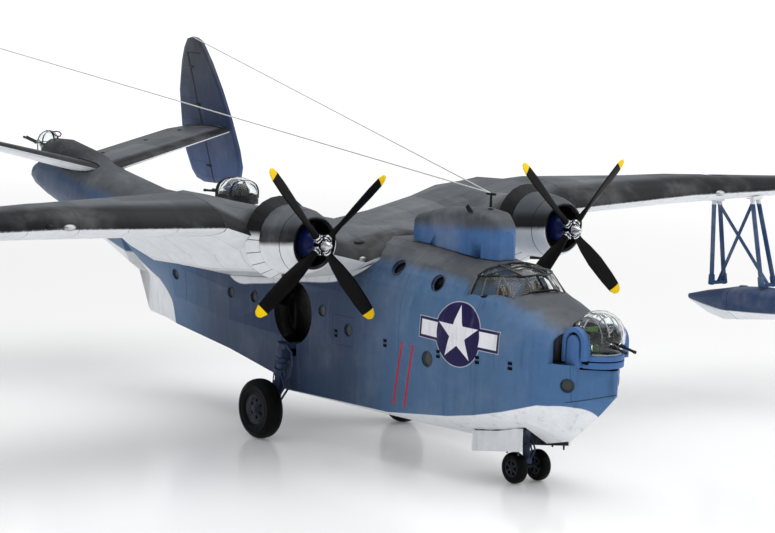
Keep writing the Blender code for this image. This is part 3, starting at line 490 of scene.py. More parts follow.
@dataclass(frozen=True)
class Paint:
    """A painted finish whose pattern is read at the full-size place of each point."""

    name: str
    tone: Tone
    roughness: float = 0.45
    metallic: float = 0.0
    fade: float = 0.25
    streaks: float = 0.15
    relief: float = 0.5
    specular: float = 0.14

    def pattern(self, w: Wiring, place: Socket) -> Coat:
        """The paint's colours before ageing, one plain colour unless a finish draws more."""
        return Coat(self.tone.value)

    def make(self) -> bpy.types.Material:
        """Builds the material.

        Returns:
            The material, which reads Object coordinates.
        """
        made = bpy.data.materials.new(self.name)
        made.use_nodes = True
        shader = made.node_tree.nodes["Principled BSDF"]
        w = Wiring(made.node_tree)
        source = w.tree.nodes.new("ShaderNodeTexCoord")
        mapping = w.tree.nodes.new("ShaderNodeMapping")
        w.feed(mapping.inputs["Vector"], source.outputs["Object"])
        w.feed(mapping.inputs["Location"], (0.0, MIDDLE_Y, 0.0))
        w.feed(mapping.inputs["Scale"], (1 / SCALE, 1 / SCALE, 1 / SCALE))
        place = mapping.outputs[0]
        coat = self.pattern(w, place)
        aged = w.group(
            "aged paint", colour=coat.colour, place=place, fade=self.fade, streaks=self.streaks,
            relief=self.relief,
        )
        colour, height = aged.outputs["Colour"], aged.outputs["Height"]
        rough = w.total(self.roughness, aged.outputs["Roughness"])
        if coat.lines is not None:
            colour = w.blend(colour, (0.006, 0.007, 0.009), w.product(coat.lines, 0.80))
            height = w.math("SUBTRACT", height, w.product(coat.lines, 2.0))
        bump = w.tree.nodes.new("ShaderNodeBump")
        w.feed(bump.inputs["Height"], height)
        w.feed(bump.inputs["Strength"], 0.35)
        w.feed(bump.inputs["Distance"], 0.0002)
        w.feed(shader.inputs["Base Color"], colour)
        w.feed(shader.inputs["Roughness"], rough)
        w.feed(shader.inputs["Metallic"], self.metallic)
        w.feed(shader.inputs["Specular IOR Level"], self.specular)
        w.feed(shader.inputs["Normal"], bump.outputs[0])
        return made


@dataclass(frozen=True)
class Glass:
    """Clear polished plastic, such as a dome or a windscreen."""

    name: str
    tint: Colour = (0.93, 0.96, 0.97)
    roughness: float = 0.03

    def make(self) -> bpy.types.Material:
        """Builds the material.

        Returns:
            A glass whose thin walls are clear.
        """
        made = bpy.data.materials.new(self.name)
        made.use_nodes = True
        shader = made.node_tree.nodes["Principled BSDF"]
        w = Wiring(made.node_tree)
        source = w.tree.nodes.new("ShaderNodeTexCoord")
        smear = w.noise(source.outputs["Object"], 90.0, 3.0)
        w.feed(shader.inputs["Base Color"], self.tint)
        w.feed(shader.inputs["Roughness"], w.total(self.roughness, w.product(w.step(smear, 0.5, 0.8), 0.05)))
        w.feed(shader.inputs["Transmission Weight"], 1.0)
        w.feed(shader.inputs["IOR"], 1.35)
        return made


class Shape:
    """One piece's mesh, built from bmesh operators in full-size metres."""

    def __init__(self) -> None:
        """Starts with nothing."""
        self.bm = bmesh.new()

    def rod(self, start: Iterable[float], end: Iterable[float], radius: float,
            end_radius: Optional[float] = None, sides: int = 12) -> None:
        """Adds a round bar, tapered where its radii differ.

        Args:
            start: Its first end's centre.
            end: Its other end's centre.
            radius: Its radius at the start.
            end_radius: Its radius at the end, the same where it isn't given.
            sides: How many flats are round it.
        """
        start, end = Vector(start), Vector(end)
        along = end - start
        place = Matrix.Translation((start + end) / 2) @ along.to_track_quat("Z", "Y").to_matrix().to_4x4()
        bmesh.ops.create_cone(
            self.bm, cap_ends=True, cap_tris=False, segments=sides, radius1=radius,
            radius2=radius if end_radius is None else end_radius, depth=along.length, matrix=place,
        )

    def block(self, centre: Iterable[float], size: Sequence[float], turn: Optional[Matrix] = None,
              bevel: float = 0.0) -> None:
        """Adds a box with softened edges.

        Args:
            centre: Its middle.
            size: Its three sizes.
            turn: How it is turned about its middle.
            bevel: The width of its edges' rounding.
        """
        placed = Matrix.Translation(Vector(centre)) @ (turn or Matrix.Identity(4)) @ Matrix.Diagonal((*size, 1.0))
        made = bmesh.ops.create_cube(self.bm, size=1.0, matrix=placed)
        if bevel:
            edges = list({edge for vert in made["verts"] for edge in vert.link_edges})
            bmesh.ops.bevel(
                self.bm, geom=edges, offset=bevel, segments=2, profile=0.5, affect="EDGES", material=-1,
            )

    def ball(self, centre: Iterable[float], radii: Sequence[float], steps: int = 16) -> None:
        """Adds a ball or an egg shape with its three radii."""
        placed = Matrix.Translation(Vector(centre)) @ Matrix.Diagonal((*radii, 1.0))
        bmesh.ops.create_uvsphere(self.bm, u_segments=steps, v_segments=steps // 2, radius=1.0, matrix=placed)

    def turned(self, profile: Sequence[tuple[float, float]], centre: Iterable[float],
               axis: Iterable[float], steps: int = 32, arc: float = math.tau) -> None:
        """Adds a turned body.

        Args:
            profile: Pairs of how far along the axis and how far out from it, in order round the body.
            centre: The place on the axis that the profile is measured from.
            axis: The axis's direction.
            steps: How many steps are round it.
            arc: The angle that it is turned through.
        """
        axis = Vector(axis).normalized()
        out = axis.orthogonal().normalized()
        if abs(axis.z) < 0.9:
            out = (Vector((0.0, 0.0, 1.0)) - axis * axis.z).normalized()
        verts = [self.bm.verts.new(Vector(centre) + axis * along + out * away) for along, away in profile]
        on_axis = profile[0][1] == 0.0 and profile[-1][1] == 0.0
        after = verts[1:] if on_axis else verts[1:] + verts[:1]
        edges = [self.bm.edges.new(pair) for pair in zip(verts, after)]
        whole = abs(arc - math.tau) < 1e-6
        made = bmesh.ops.spin(
            self.bm, geom=verts + edges, cent=Vector(centre), axis=axis, angle=arc, steps=steps, use_merge=whole,
        )
        if not whole:
            last = [item for item in made["geom_last"] if isinstance(item, bmesh.types.BMVert)]
            self.bm.faces.new(verts)
            self.bm.faces.new(last)
        if on_axis:
            near = [vert for vert in self.bm.verts if (vert.co - Vector(centre)).cross(axis).length < 1e-6]
            bmesh.ops.remove_doubles(self.bm, verts=near, dist=1e-5)

    def path(self, points: Sequence[Iterable[float]], radius: float, sides: int = 8,
             closed: bool = False) -> None:
        """Adds a bent round wire through some places.

        Args:
            points: The places, in order.
            radius: The wire's radius.
            sides: How many flats are round it.
            closed: Whether the last place joins the first.
        """
        places = [Vector(point) for point in points]
        count = len(places)
        rings = []
        for index, place in enumerate(places):
            before = places[(index - 1) % count] if closed or index else place
            after = places[(index + 1) % count] if closed or index < count - 1 else place
            turn = (after - before).to_track_quat("Z", "Y").to_matrix().to_4x4()
            made = bmesh.ops.create_circle(
                self.bm, cap_ends=False, segments=sides, radius=radius, matrix=Matrix.Translation(place) @ turn,
            )
            ring = {edge for vert in made["verts"] for edge in vert.link_edges}
            rings.append(list(ring))
        pairs = list(zip(rings, rings[1:] + rings[:1])) if closed else list(zip(rings, rings[1:]))
        for near, far in pairs:
            bmesh.ops.bridge_loops(self.bm, edges=near + far)
        if not closed:
            for ring in (rings[0], rings[-1]):
                bmesh.ops.contextual_create(self.bm, geom=ring)

    def hoop(self, centre: Iterable[float], axis: Iterable[float], radius: float, thickness: float,
             steps: int = 28, sides: int = 8) -> None:
        """Adds a round wire ring.

        Args:
            centre: Its centre.
            axis: The way that it faces.
            radius: Its radius to the wire's middle.
            thickness: The wire's radius.
            steps: How many steps are round it.
            sides: How many flats are round the wire.
        """
        turns = [math.tau * step / sides for step in range(sides)]
        wire = [(math.sin(turn) * thickness, radius + math.cos(turn) * thickness) for turn in turns]
        self.turned(wire, centre, axis, steps)

    def strap(self, points: Sequence[Iterable[float]], across: Iterable[float], thickness: float) -> None:
        """Adds a flat strip along some places.

        Args:
            points: The places along its middle, in order.
            across: The way across it, as long as it is wide.
            thickness: How far it stands off the places, to its left as it goes where that is positive.
        """
        places, wide = [Vector(point) for point in points], Vector(across)
        last = len(places) - 1
        rings = []
        for index, place in enumerate(places):
            along = places[min(index + 1, last)] - places[max(index - 1, 0)]
            rise = along.cross(wide).normalized() * thickness
            corners = (place - wide / 2, place + wide / 2, place + wide / 2 + rise, place - wide / 2 + rise)
            verts = [self.bm.verts.new(corner) for corner in corners]
            rings.append([self.bm.edges.new(pair) for pair in zip(verts, verts[1:] + verts[:1])])
        for near, far in zip(rings, rings[1:]):
            bmesh.ops.bridge_loops(self.bm, edges=near + far)
        for ring in (rings[0], rings[-1]):
            bmesh.ops.contextual_create(self.bm, geom=ring)

    def soften(self, width: float, angle: float) -> None:
        """Rounds the edges that are sharper than an angle in degrees."""
        bmesh.ops.recalc_face_normals(self.bm, faces=self.bm.faces)
        sharp = [edge for edge in self.bm.edges if edge.calc_face_angle(0.0) > math.radians(angle)]
        bmesh.ops.bevel(
            self.bm, geom=sharp, offset=width, segments=2, profile=0.5, affect="EDGES", material=-1, clamp_overlap=True,
        )

    def carve(self, cutter: "Shape") -> None:
        """Takes another shape out of this one, and uses that shape up."""
        blanks = []
        for shape in (self, cutter):
            mesh = bpy.data.meshes.new("blank")
            shape.bm.to_mesh(mesh)
            blanks.append(bpy.data.objects.new("blank", mesh))
            bpy.context.scene.collection.objects.link(blanks[-1])
        cut = blanks[0].modifiers.new("carve", "BOOLEAN")
        cut.operation, cut.solver, cut.object = "DIFFERENCE", "EXACT", blanks[1]
        carved = bpy.data.meshes.new_from_object(blanks[0].evaluated_get(bpy.context.evaluated_depsgraph_get()))
        self.bm.clear()
        self.bm.from_mesh(carved)
        cutter.bm.free()
        for blank in blanks:
            mesh = blank.data
            bpy.data.objects.remove(blank)
            bpy.data.meshes.remove(mesh)
        bpy.data.meshes.remove(carved)

    def plate(self, outline: Sequence[Iterable[float]], depth: Iterable[float]) -> None:
        """Adds a flat plate.

        Args:
            outline: The corners round one face.
            depth: How far and which way it is extruded.
        """
        face = self.bm.faces.new([self.bm.verts.new(Vector(point)) for point in outline])
        made = bmesh.ops.extrude_face_region(self.bm, geom=[face])
        verts = [item for item in made["geom"] if isinstance(item, bmesh.types.BMVert)]
        bmesh.ops.translate(self.bm, verts=verts, vec=Vector(depth))

    def mirrored(self) -> None:
        """Adds the same shapes on the other side of the centre plane."""
        geometry = self.bm.verts[:] + self.bm.edges[:] + self.bm.faces[:]
        bmesh.ops.mirror(self.bm, geom=geometry, axis="X", merge_dist=-1.0)


class Shop:
    """Finishes shapes into pieces: their paint, the body that they ride on and what they stand for."""

    def __init__(self) -> None:
        """Starts with no paints made."""
        self.paints: dict[str, bpy.types.Material] = {}
        self.surfaces: dict[str, BVHTree] = {}

    def surface(self, node: str) -> BVHTree:
        """A CAD node's surface in full-size metres, for laying pieces on it."""
        if node not in self.surfaces:
            bm = bmesh.new()
            bm.from_mesh(frame["nodes"][node].data)
            bm.transform(TO_MODEL.inverted())
            self.surfaces[node] = BVHTree.FromBMesh(bm)
            bm.free()
        return self.surfaces[node]

    def seat(self, node: str, start: Iterable[float], way: Iterable[float]) -> tuple[Vector, Vector]:
        """Where a straight line first meets a CAD node.

        Args:
            node: The CAD node.
            start: Where the line starts, in full-size metres.
            way: The line's direction.

        Returns:
            The place, and the way out of the surface there.
        """
        place, out, _, _ = self.surface(node).ray_cast(Vector(start), Vector(way))
        return place, out

    def paint(self, finish: Union[Paint, Glass]) -> bpy.types.Material:
        """The material of a finish, made when it is first asked for."""
        if finish.name not in self.paints:
            self.paints[finish.name] = finish.make()
        return self.paints[finish.name]

    def piece(self, name: str, shape: Shape, finish: Union[Paint, Glass], body: str = AIRFRAME,
              replaces: Sequence[str] = (), angle: float = 35.0, facing: bool = True) -> bpy.types.Object:
        """Turns a shape into a finished piece in the model's frame.

        Args:
            name: The piece's name.
            shape: Its shape, in full-size metres, which is used up.
            finish: Its paint or glass.
            body: The body that it rides on.
            replaces: The CAD nodes that it stands for.
            angle: The angle in degrees past which an edge stays sharp.
            facing: Whether its faces are turned outwards again.

        Returns:
            The piece.
        """
        bm = shape.bm
        bm.transform(TO_MODEL)
        if facing:
            bmesh.ops.recalc_face_normals(bm, faces=bm.faces)
        mesh = bpy.data.meshes.new(name)
        bm.to_mesh(mesh)
        bm.free()
        mesh.shade_smooth()
        mesh.set_sharp_from_angle(angle=math.radians(angle))
        mesh.materials.append(self.paint(finish))
        made = bpy.data.objects.new(name, mesh)
        bpy.context.scene.collection.objects.link(made)
        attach(made, body)
        if replaces:
            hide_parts(*replaces)
        log.info("%s: %d faces on %s", name, len(mesh.polygons), body)
        return made

    def skin(self, node: str, finish: Union[Paint, Glass], angle: float = 30.0,
             cutter: Optional[Shape] = None) -> bpy.types.Object:
        """A smooth painted copy that stands for a CAD node.

        Args:
            node: The CAD node.
            finish: Its paint or glass.
            angle: The angle in degrees past which an edge stays sharp.
            cutter: A shape that is taken out of the copy.

        Returns:
            The copy, on the node's own body.
        """
        shape = Shape()
        shape.bm.from_mesh(frame["nodes"][node].data)
        bmesh.ops.remove_doubles(shape.bm, verts=shape.bm.verts, dist=2e-7)
        bmesh.ops.dissolve_limit(
            shape.bm, angle_limit=math.radians(0.2), verts=shape.bm.verts, edges=shape.bm.edges,
        )
        shape.bm.transform(TO_MODEL.inverted())
        if cutter is not None:
            shape.carve(cutter)
        body = next(name for name, nodes in frame["record"]["behaviour"]["bodies"].items() if node in nodes)
        made = self.piece(f"{node}_skin", shape, finish, body, (node,), angle, facing=False)
        weighted = made.modifiers.new("even shading", "WEIGHTED_NORMAL")
        weighted.keep_sharp = True
        return made


@dataclass(frozen=True)
class HullPaint(Paint):
    """The hull's three colours with their borders, its side mark, its two stripes and its seams, with painted shade
    under the wing and the tailplane and inside its recesses.
    """

    star_place: tuple[float, float] = (3.86, 3.32)
    star_size: float = 0.715
    stripes: tuple[tuple[float, float], ...] = ((5.86, 2.17), (5.48, 2.15))
    stripe_half_length: float = 0.75
    stripe_half_width: float = 0.046
    stripe_lean: float = -0.19
    well_place: tuple[float, float] = (9.88, 3.03)
    grey_border: tuple[tuple[float, float], ...] = (
        (0.8, 3.36), (1.4, 3.64), (2.5, 4.06), (3.5, 4.28), (4.6, 4.46), (6.2, 4.56), (12.6, 4.55), (15.2, 4.60),
        (18.4, 4.78), (20.3, 5.02), (22.4, 5.34), (23.3, 5.40), (24.3, 5.12),
    )
    chine: tuple[tuple[float, float], ...] = (
        (0.3, 2.37), (0.65, 2.26), (1.0, 2.17), (1.4, 2.09), (1.64, 2.04), (2.5, 1.78), (3.34, 1.58), (4.14, 1.44),
        (6.2, 1.20), (10.28, 1.13),
    )
    stern_border: tuple[tuple[float, float], ...] = (
        (15.66, 1.5), (15.74, 2.5), (16.1, 2.76), (16.9, 3.10), (17.6, 3.36), (18.4, 3.50), (24.2, 4.6),
    )
    root_border: tuple[tuple[float, float], ...] = (
        (6.9, 4.9), (7.1, 4.62), (7.5, 4.28), (8.0, 4.05), (8.5, 3.92), (9.7, 3.78), (11.5, 3.52), (12.2, 3.46), (12.95, 4.50),
    )

    def lower(self, w: Wiring, x: Socket, y: Socket, z: Socket) -> Socket:
        """The mask of the white bottom, stern and wing roots."""
        chine = w.profile(y, self.chine, soft=False)
        fore = w.product(w.step(w.math("SUBTRACT", chine, z), -0.02, 0.0), w.step(y, 10.34, 10.30))
        bow_edge = w.total(0.80, w.product(x, x, 0.7))
        fore = w.product(fore, w.step(w.math("SUBTRACT", y, bow_edge), -0.01, 0.02))
        stern = w.profile(y, self.stern_border)
        aft = w.product(w.step(w.math("SUBTRACT", stern, z), -0.03, 0.05), w.step(y, 15.62, 15.70))
        side = w.math("ABSOLUTE", x)
        root = w.math("SUBTRACT", z, w.profile(y, self.root_border))
        fillet = w.product(
            w.step(root, -0.02, 0.02), w.within(y, 6.92, 12.95, 0.02), w.step(z, 4.66, 4.54),
            w.step(side, 0.7, 0.9),
        )
        return w.largest(fore, aft, fillet)

    def pattern(self, w: Wiring, place: Socket) -> Coat:
        """Lays the colours from the widest to the smallest mark."""
        x, y, z = w.parts(place)
        side = w.math("ABSOLUTE", x)
        spray = w.product(w.math("SUBTRACT", w.noise(place, 5.0, 4.0, 0.7), 0.5), 0.20)
        drift = w.product(w.math("SUBTRACT", w.noise(place, 1.3, 2.0), 0.5), 0.16)
        # Painted shade: the side blue darkens to deep blue along the middle of the hull, under the wing.
        colour = w.blend(Tone.SIDE_BLUE.value, Tone.DEEP_BLUE.value, w.product(w.within(y, 6.6, 14.4, 1.5), 0.9))
        colour = w.blend(colour, shade(70, 110, 160), w.product(w.step(y, 3.0, 0.9), 0.55))
        grey = w.total(w.math("SUBTRACT", z, w.profile(y, self.grey_border)), spray, drift)
        colour = w.blend(colour, Tone.DEEP_BLUE.value, w.product(w.step(y, 18.0, 20.5), 0.75))
        colour = w.blend(colour, Tone.TOP_GREY.value, w.step(grey, -0.11, 0.16))
        # Painted shade: the hull's top under the tailplane is darkened nearly to black.
        fairing = w.product(w.step(y, 20.2, 21.6), w.step(grey, 0.0, 0.3))
        colour = w.blend(colour, Tone.NEAR_BLACK.value, w.product(fairing, 0.7))
        colour = w.blend(colour, Tone.UNDER_WHITE.value, self.lower(w, x, y, z))
        flat_side = w.step(side, 0.9, 1.1)
        star_y, star_z = self.star_place
        along = w.math("DIVIDE", w.math("SUBTRACT", star_y, y), self.star_size)
        level = w.product(w.math("SUBTRACT", y, star_y), 0.028)
        up = w.math("DIVIDE", w.math("SUBTRACT", w.math("SUBTRACT", z, star_z), level), self.star_size)
        mark = w.group("star and bar", along=along, up=up).outputs
        colour = w.blend(colour, shade(206, 210, 216), w.product(mark["Rim"], flat_side, 0.6))
        colour = w.blend(colour, Tone.FIELD_BLUE.value, w.product(mark["Field"], flat_side))
        colour = w.blend(colour, shade(232, 234, 240), w.product(mark["White"], flat_side))
        for stripe_y, stripe_z in self.stripes:
            rise = w.math("SUBTRACT", z, stripe_z)
            off = w.math("SUBTRACT", w.math("SUBTRACT", y, stripe_y), w.product(rise, self.stripe_lean))
            edge = w.product(w.math("SUBTRACT", w.noise(place, 20.0, 2.0), 0.5), 0.02)
            wide = w.step(w.total(w.math("ABSOLUTE", off), edge), self.stripe_half_width, 0.02)
            tall = w.step(w.math("ABSOLUTE", rise), self.stripe_half_length, self.stripe_half_length - 0.02)
            colour = w.blend(colour, Tone.STRIPE_RED.value, w.product(wide, tall, flat_side))
        # Painted shade: near-black in the wells, the nose bay, the cockpit and round the bow turret's seat and ear
        # slots.
        colour = w.blend(colour, Tone.BLACK_AND_SHADE.value, self.inside(w, x, y, z))
        return Coat(colour, self.seams(w, place, x, y, z))

    def inside(self, w: Wiring, x: Socket, y: Socket, z: Socket) -> Socket:
        """The mask of the painted shade inside the wheel wells, the nose bay, the cockpit, the turret's seat and the
        slots behind its ears.
        """
        side = w.math("ABSOLUTE", x)
        well_y, well_z = self.well_place
        off_y, off_z = w.math("SUBTRACT", y, well_y), w.math("SUBTRACT", z, well_z)
        away = w.math("SQRT", w.total(w.product(off_y, off_y), w.product(off_z, off_z)))
        round_well = w.step(away, 0.775, 0.768)
        slot = w.product(w.within(off_y, -0.152, 0.152, 0.002), w.within(z, 1.975, well_z, 0.003))
        deep = w.step(w.math("SUBTRACT", w.profile(z, ((1.1, 1.500), (2.4, 1.540), (3.2, 1.55), (3.8, 1.52)), False),
                             side), 0.006, 0.012)
        wells = w.product(w.largest(round_well, slot), deep)
        bay = w.product(w.within(y, 2.416, 4.164, 0.002), w.step(side, 0.664, 0.661), w.step(z, 1.953, 1.951))
        rim = w.profile(y, ((2.69, 0.30), (2.80, 0.76), (3.16, 0.94), (3.46, 1.11), (3.76, 1.23)), False)
        ledge = w.product(w.within(y, 2.73, 3.765, 0.004), w.step(w.math("SUBTRACT", rim, side), 0.02, 0.03), w.step(z, 3.9, 3.92))
        tub = w.product(w.within(y, 2.918, 3.722, 0.002), w.step(side, 0.743, 0.741), w.step(z, 3.27, 3.29))
        round_off = w.total(w.product(x, x), w.math("POWER", w.math("SUBTRACT", y, 0.87), 2.0))
        ball = w.total(round_off, w.math("POWER", w.math("SUBTRACT", z, 3.58), 2.0))
        seat = w.step(w.math("SQRT", ball), 0.632, 0.626)
        collar = w.product(w.step(w.math("SQRT", round_off), 0.592, 0.588), w.step(z, 2.912, 2.916))
        ear = w.total(w.math("POWER", w.math("SUBTRACT", y, 0.98), 2.0), w.math("POWER", w.math("SUBTRACT", z, 3.46), 2.0))
        slot_room = w.largest(
            w.step(w.math("SQRT", ear), 0.386, 0.383), w.product(w.within(y, 0.597, 1.363, 0.001), w.step(z, 3.46, 3.45)),
        )
        slots = w.product(slot_room, w.step(z, 2.996, 2.999), w.step(side, 0.43, 0.436), w.step(side, 0.90, 0.86))
        return w.largest(wells, bay, tub, ledge, seat, collar, slots)

    def seams(self, w: Wiring, place: Socket, x: Socket, y: Socket, z: Socket) -> Socket:
        """The mask of the engraved lines on the hull."""
        side = w.math("ABSOLUTE", x)
        frames = w.group("seam lines", along=y, pitch=2.44, start=0.96, width=0.016).outputs["Mask"]
        frames = w.product(frames, w.step(z, 2.0, 2.2), 0.35)
        hatch = w.product(w.within(y, 7.50, 8.32, 0.006), w.within(z, 2.50, 3.22, 0.006))
        hatch_inner = w.product(w.within(y, 7.53, 8.29, 0.006), w.within(z, 2.53, 3.19, 0.006))
        square = w.product(w.math("SUBTRACT", hatch, hatch_inner), w.step(side, 1.3, 1.4), 0.3)
        lean = w.total(14.65, w.product(w.math("SUBTRACT", 3.44, z), 0.27))
        door = w.product(
            w.step(w.math("ABSOLUTE", w.math("SUBTRACT", y, lean)), 0.016, 0.008), w.within(z, 2.6, 3.46, 0.01),
        )
        crease = w.math("SUBTRACT", z, w.profile(y, self.chine, soft=False))
        bow = w.product(w.step(w.math("ABSOLUTE", w.math("SUBTRACT", crease, 0.02)), 0.016, 0.006), w.step(y, 1.15, 1.0))
        return w.largest(frames, square, w.product(door, 0.8), w.product(bow, 0.9))


@dataclass(frozen=True)
class WingPaint(Paint):
    """Grey above and white below, with ribs, spars and the hinge lines of the moving surfaces, and a near-black leading
    edge that is partly its paint and partly painted shade.
    """

    front: tuple[tuple[float, float], ...] = ((0.0, 7.2), (1.5, 7.15), (2.9, 7.4), (5.2, 7.46), (9.5, 7.75), (14.3, 8.15), (16.8, 8.38))
    back: tuple[tuple[float, float], ...] = ((0.0, 12.6), (3.7, 12.6), (5.2, 12.3), (9.5, 11.6), (14.3, 10.9), (16.8, 10.5))
    rib_pitch: float = 1.22
    hinge_share: float = 0.76
    hinge_reach: tuple[float, float] = (5.3, 17.2)
    marks: tuple[tuple[float, float, float, float], ...] = ((10.95, 9.62, 1.16, 1.0), (-10.95, 9.62, 1.16, -1.0))
    border: float = -0.06
    split: bool = True

    def pattern(self, w: Wiring, place: Socket) -> Coat:
        """Lays the two colours, the marks and the seams."""
        x, y, z = w.parts(place)
        reach = w.math("ABSOLUTE", x)
        source = w.tree.nodes.new("ShaderNodeTexCoord")
        facing = w.parts(source.outputs["Normal"])[2]
        speckle = w.product(w.math("SUBTRACT", w.noise(place, 14.0, 3.0, 0.7), 0.5), 0.30)
        top = w.step(w.total(facing, speckle), self.border - 0.16, self.border + 0.16)
        start, end = w.profile(reach, self.front, soft=False), w.profile(reach, self.back, soft=False)
        share = w.math("DIVIDE", w.math("SUBTRACT", y, start), w.math("SUBTRACT", end, start))
        ribs = w.group("seam lines", along=reach, pitch=self.rib_pitch, start=5.2, width=0.018).outputs["Mask"]
        spars = w.group("seam lines", along=share, pitch=0.21, start=0.13, width=0.0045).outputs["Mask"]
        low, high = self.hinge_reach
        hinge = w.product(
            w.step(w.math("ABSOLUTE", w.math("SUBTRACT", share, self.hinge_share)), 0.006, 0.003),
            w.within(reach, low, high, 0.01),
        )
        panel = w.noise(w.vector(w.math("FLOOR", w.math("DIVIDE", reach, self.rib_pitch)), w.math("FLOOR", w.product(share, 4.8))), 3.7, 0.0)
        grey = w.blend(Tone.TOP_GREY.value, shade(120, 124, 130), w.product(w.step(panel, 0.35, 0.75), 0.5))
        # Near-black along the leading edge: partly the edge's dark paint, partly painted shade.
        nose = w.step(share, 0.20, 0.09)
        grey = w.blend(grey, Tone.BLACK_AND_SHADE.value, w.product(nose, 0.85))
        colour = w.blend(Tone.UNDER_WHITE.value, grey, top) if self.split else grey
        for mark_x, mark_y, size, face in self.marks:
            along = w.math("DIVIDE", w.math("SUBTRACT", x, mark_x), size)
            up = w.math("DIVIDE", w.math("SUBTRACT", mark_y, y), size)
            drawn = w.group("star and bar", along=along, up=up).outputs
            there = w.step(w.product(facing, face), 0.0, 0.1)
            colour = w.blend(colour, Tone.FIELD_BLUE.value, w.product(drawn["Field"], there))
            colour = w.blend(colour, shade(228, 230, 236), w.product(drawn["White"], there))
        lines = w.largest(w.product(ribs, 0.42), w.product(spars, 0.30), hinge)
        return Coat(colour, lines)


@dataclass(frozen=True)
class TailPaint(WingPaint):
    """The tailplane's two colours and its elevators' hinge line."""

    front: tuple[tuple[float, float], ...] = ((0.0, 20.45), (3.62, 20.64), (4.1, 20.68))
    back: tuple[tuple[float, float], ...] = ((0.0, 23.05), (3.62, 23.10), (4.1, 23.0))
    rib_pitch: float = 0.94
    hinge_share: float = 0.70
    hinge_reach: tuple[float, float] = (0.95, 3.9)
    marks: tuple[tuple[float, float, float, float], ...] = ()


@dataclass(frozen=True)
class FinPaint(Paint):
    """A fin's blue, with the rudder's hinge line, its horn and the ribs."""

    foot: tuple[float, float] = (4.25, 6.38)
    cant: float = math.radians(13.5)
    hinge: tuple[tuple[float, float], ...] = ((-1.7, 22.04), (2.2, 22.20))

    def pattern(self, w: Wiring, place: Socket) -> Coat:
        """Lays the seams by the height up the canted fin."""
        x, y, z = w.parts(place)
        reach = w.math("ABSOLUTE", x)
        foot_x, foot_z = self.foot
        up = w.total(
            w.product(w.math("SUBTRACT", z, foot_z), math.cos(self.cant)),
            w.product(w.math("SUBTRACT", foot_x, reach), math.sin(self.cant)),
        )
        hinge_y = w.profile(up, self.hinge, soft=False)
        hinge = w.product(w.step(w.math("ABSOLUTE", w.math("SUBTRACT", y, hinge_y)), 0.055, 0.040), w.step(up, 2.2, 2.18))
        horn = w.product(w.step(w.math("ABSOLUTE", w.math("SUBTRACT", up, 2.17)), 0.022, 0.012), w.within(y, 21.55, 22.2, 0.01))
        ribs = w.group("seam lines", along=up, pitch=0.62, start=0.2, width=0.015).outputs["Mask"]
        ribs = w.product(ribs, w.step(y, 22.10, 22.16), 0.4)
        tab = w.product(
            w.step(w.math("ABSOLUTE", w.math("SUBTRACT", y, w.total(22.86, w.product(up, -0.08)))), 0.014, 0.007),
            w.within(up, -1.0, 0.9, 0.01),
        )
        colour = w.blend(shade(58, 72, 104), shade(66, 72, 84), w.step(up, 0.2, 2.4))
        colour = w.blend(colour, shade(70, 96, 140), w.product(w.step(up, -0.4, -1.3), 0.5))
        return Coat(colour, w.largest(hinge, horn, ribs, w.product(tab, 0.6)))


@dataclass(frozen=True)
class SplitPaint(Paint):
    """One colour above a height and another below it, with a sprayed border, and for the cowls painted shade inside the
    mouth.
    """

    below: Tone = Tone.UNDER_WHITE
    border: tuple[tuple[float, float], ...] = ((0.0, 0.0), (30.0, 0.0))
    soft: float = 0.04
    ragged: float = 0.05
    line_heights: tuple[float, ...] = ()
    line_stations: tuple[float, ...] = ()
    inner: float = 0.0
    band: float = 0.0

    def pattern(self, w: Wiring, place: Socket) -> Coat:
        """Lays the two colours and the piece's own seams."""
        x, y, z = w.parts(place)
        spray = w.product(w.math("SUBTRACT", w.noise(place, 6.0, 4.0, 0.75), 0.5), self.ragged)
        over = w.total(w.math("SUBTRACT", z, w.profile(y, self.border, soft=False)), spray)
        upper: Value = self.tone.value
        if self.band:
            upper = w.blend(upper, Tone.NEAR_BLACK.value, w.product(w.step(over, self.band + 0.18, self.band - 0.06), 0.85))
        colour = w.blend(self.below.value, upper, w.step(over, -self.soft, self.soft))
        # Painted shade: the inside of the cowl's mouth, within the drawn radius, goes near-black.
        if self.inner:
            off_x = w.math("SUBTRACT", w.math("ABSOLUTE", x), 3.697)
            off_z = w.math("SUBTRACT", z, 5.183)
            away = w.math("SQRT", w.total(w.product(off_x, off_x), w.product(off_z, off_z)))
            bound = w.profile(y, ((6.20, 0.560), (6.26, 0.600), (6.38, 0.640), (6.62, 0.705), (7.3, 0.735)), False)
            colour = w.blend(colour, Tone.BLACK_AND_SHADE.value, w.step(w.math("SUBTRACT", bound, away), -0.004, 0.004))
        lines: Value = 0.0
        for height in self.line_heights:
            lines = w.largest(lines, w.step(w.math("ABSOLUTE", w.math("SUBTRACT", z, height)), 0.014, 0.006))
        for station in self.line_stations:
            lines = w.largest(lines, w.step(w.math("ABSOLUTE", w.math("SUBTRACT", y, station)), 0.014, 0.006))
        return Coat(colour, lines if isinstance(lines, Socket) else None)


@dataclass(frozen=True)
class BladePaint(Paint):
    """Black propeller blades with yellow tips."""

    hub_x: float = 3.697
    hub_z: float = 5.183
    tip_radius: float = 2.06

    def pattern(self, w: Wiring, place: Socket) -> Coat:
        """Lays the tips by the distance from the shaft."""
        x, _, z = w.parts(place)
        off_x = w.math("SUBTRACT", w.math("ABSOLUTE", x), self.hub_x)
        off_z = w.math("SUBTRACT", z, self.hub_z)
        away = w.math("SQRT", w.total(w.product(off_x, off_x), w.product(off_z, off_z)))
        rubbed = w.product(w.step(w.noise(place, 8.0, 4.0, 0.7), 0.55, 0.8), 0.25)
        black = w.blend(self.tone.value, shade(34, 34, 36), rubbed)
        return Coat(w.blend(black, Tone.TIP_YELLOW.value, w.step(away, self.tip_radius - 0.01, self.tip_radius + 0.01)))


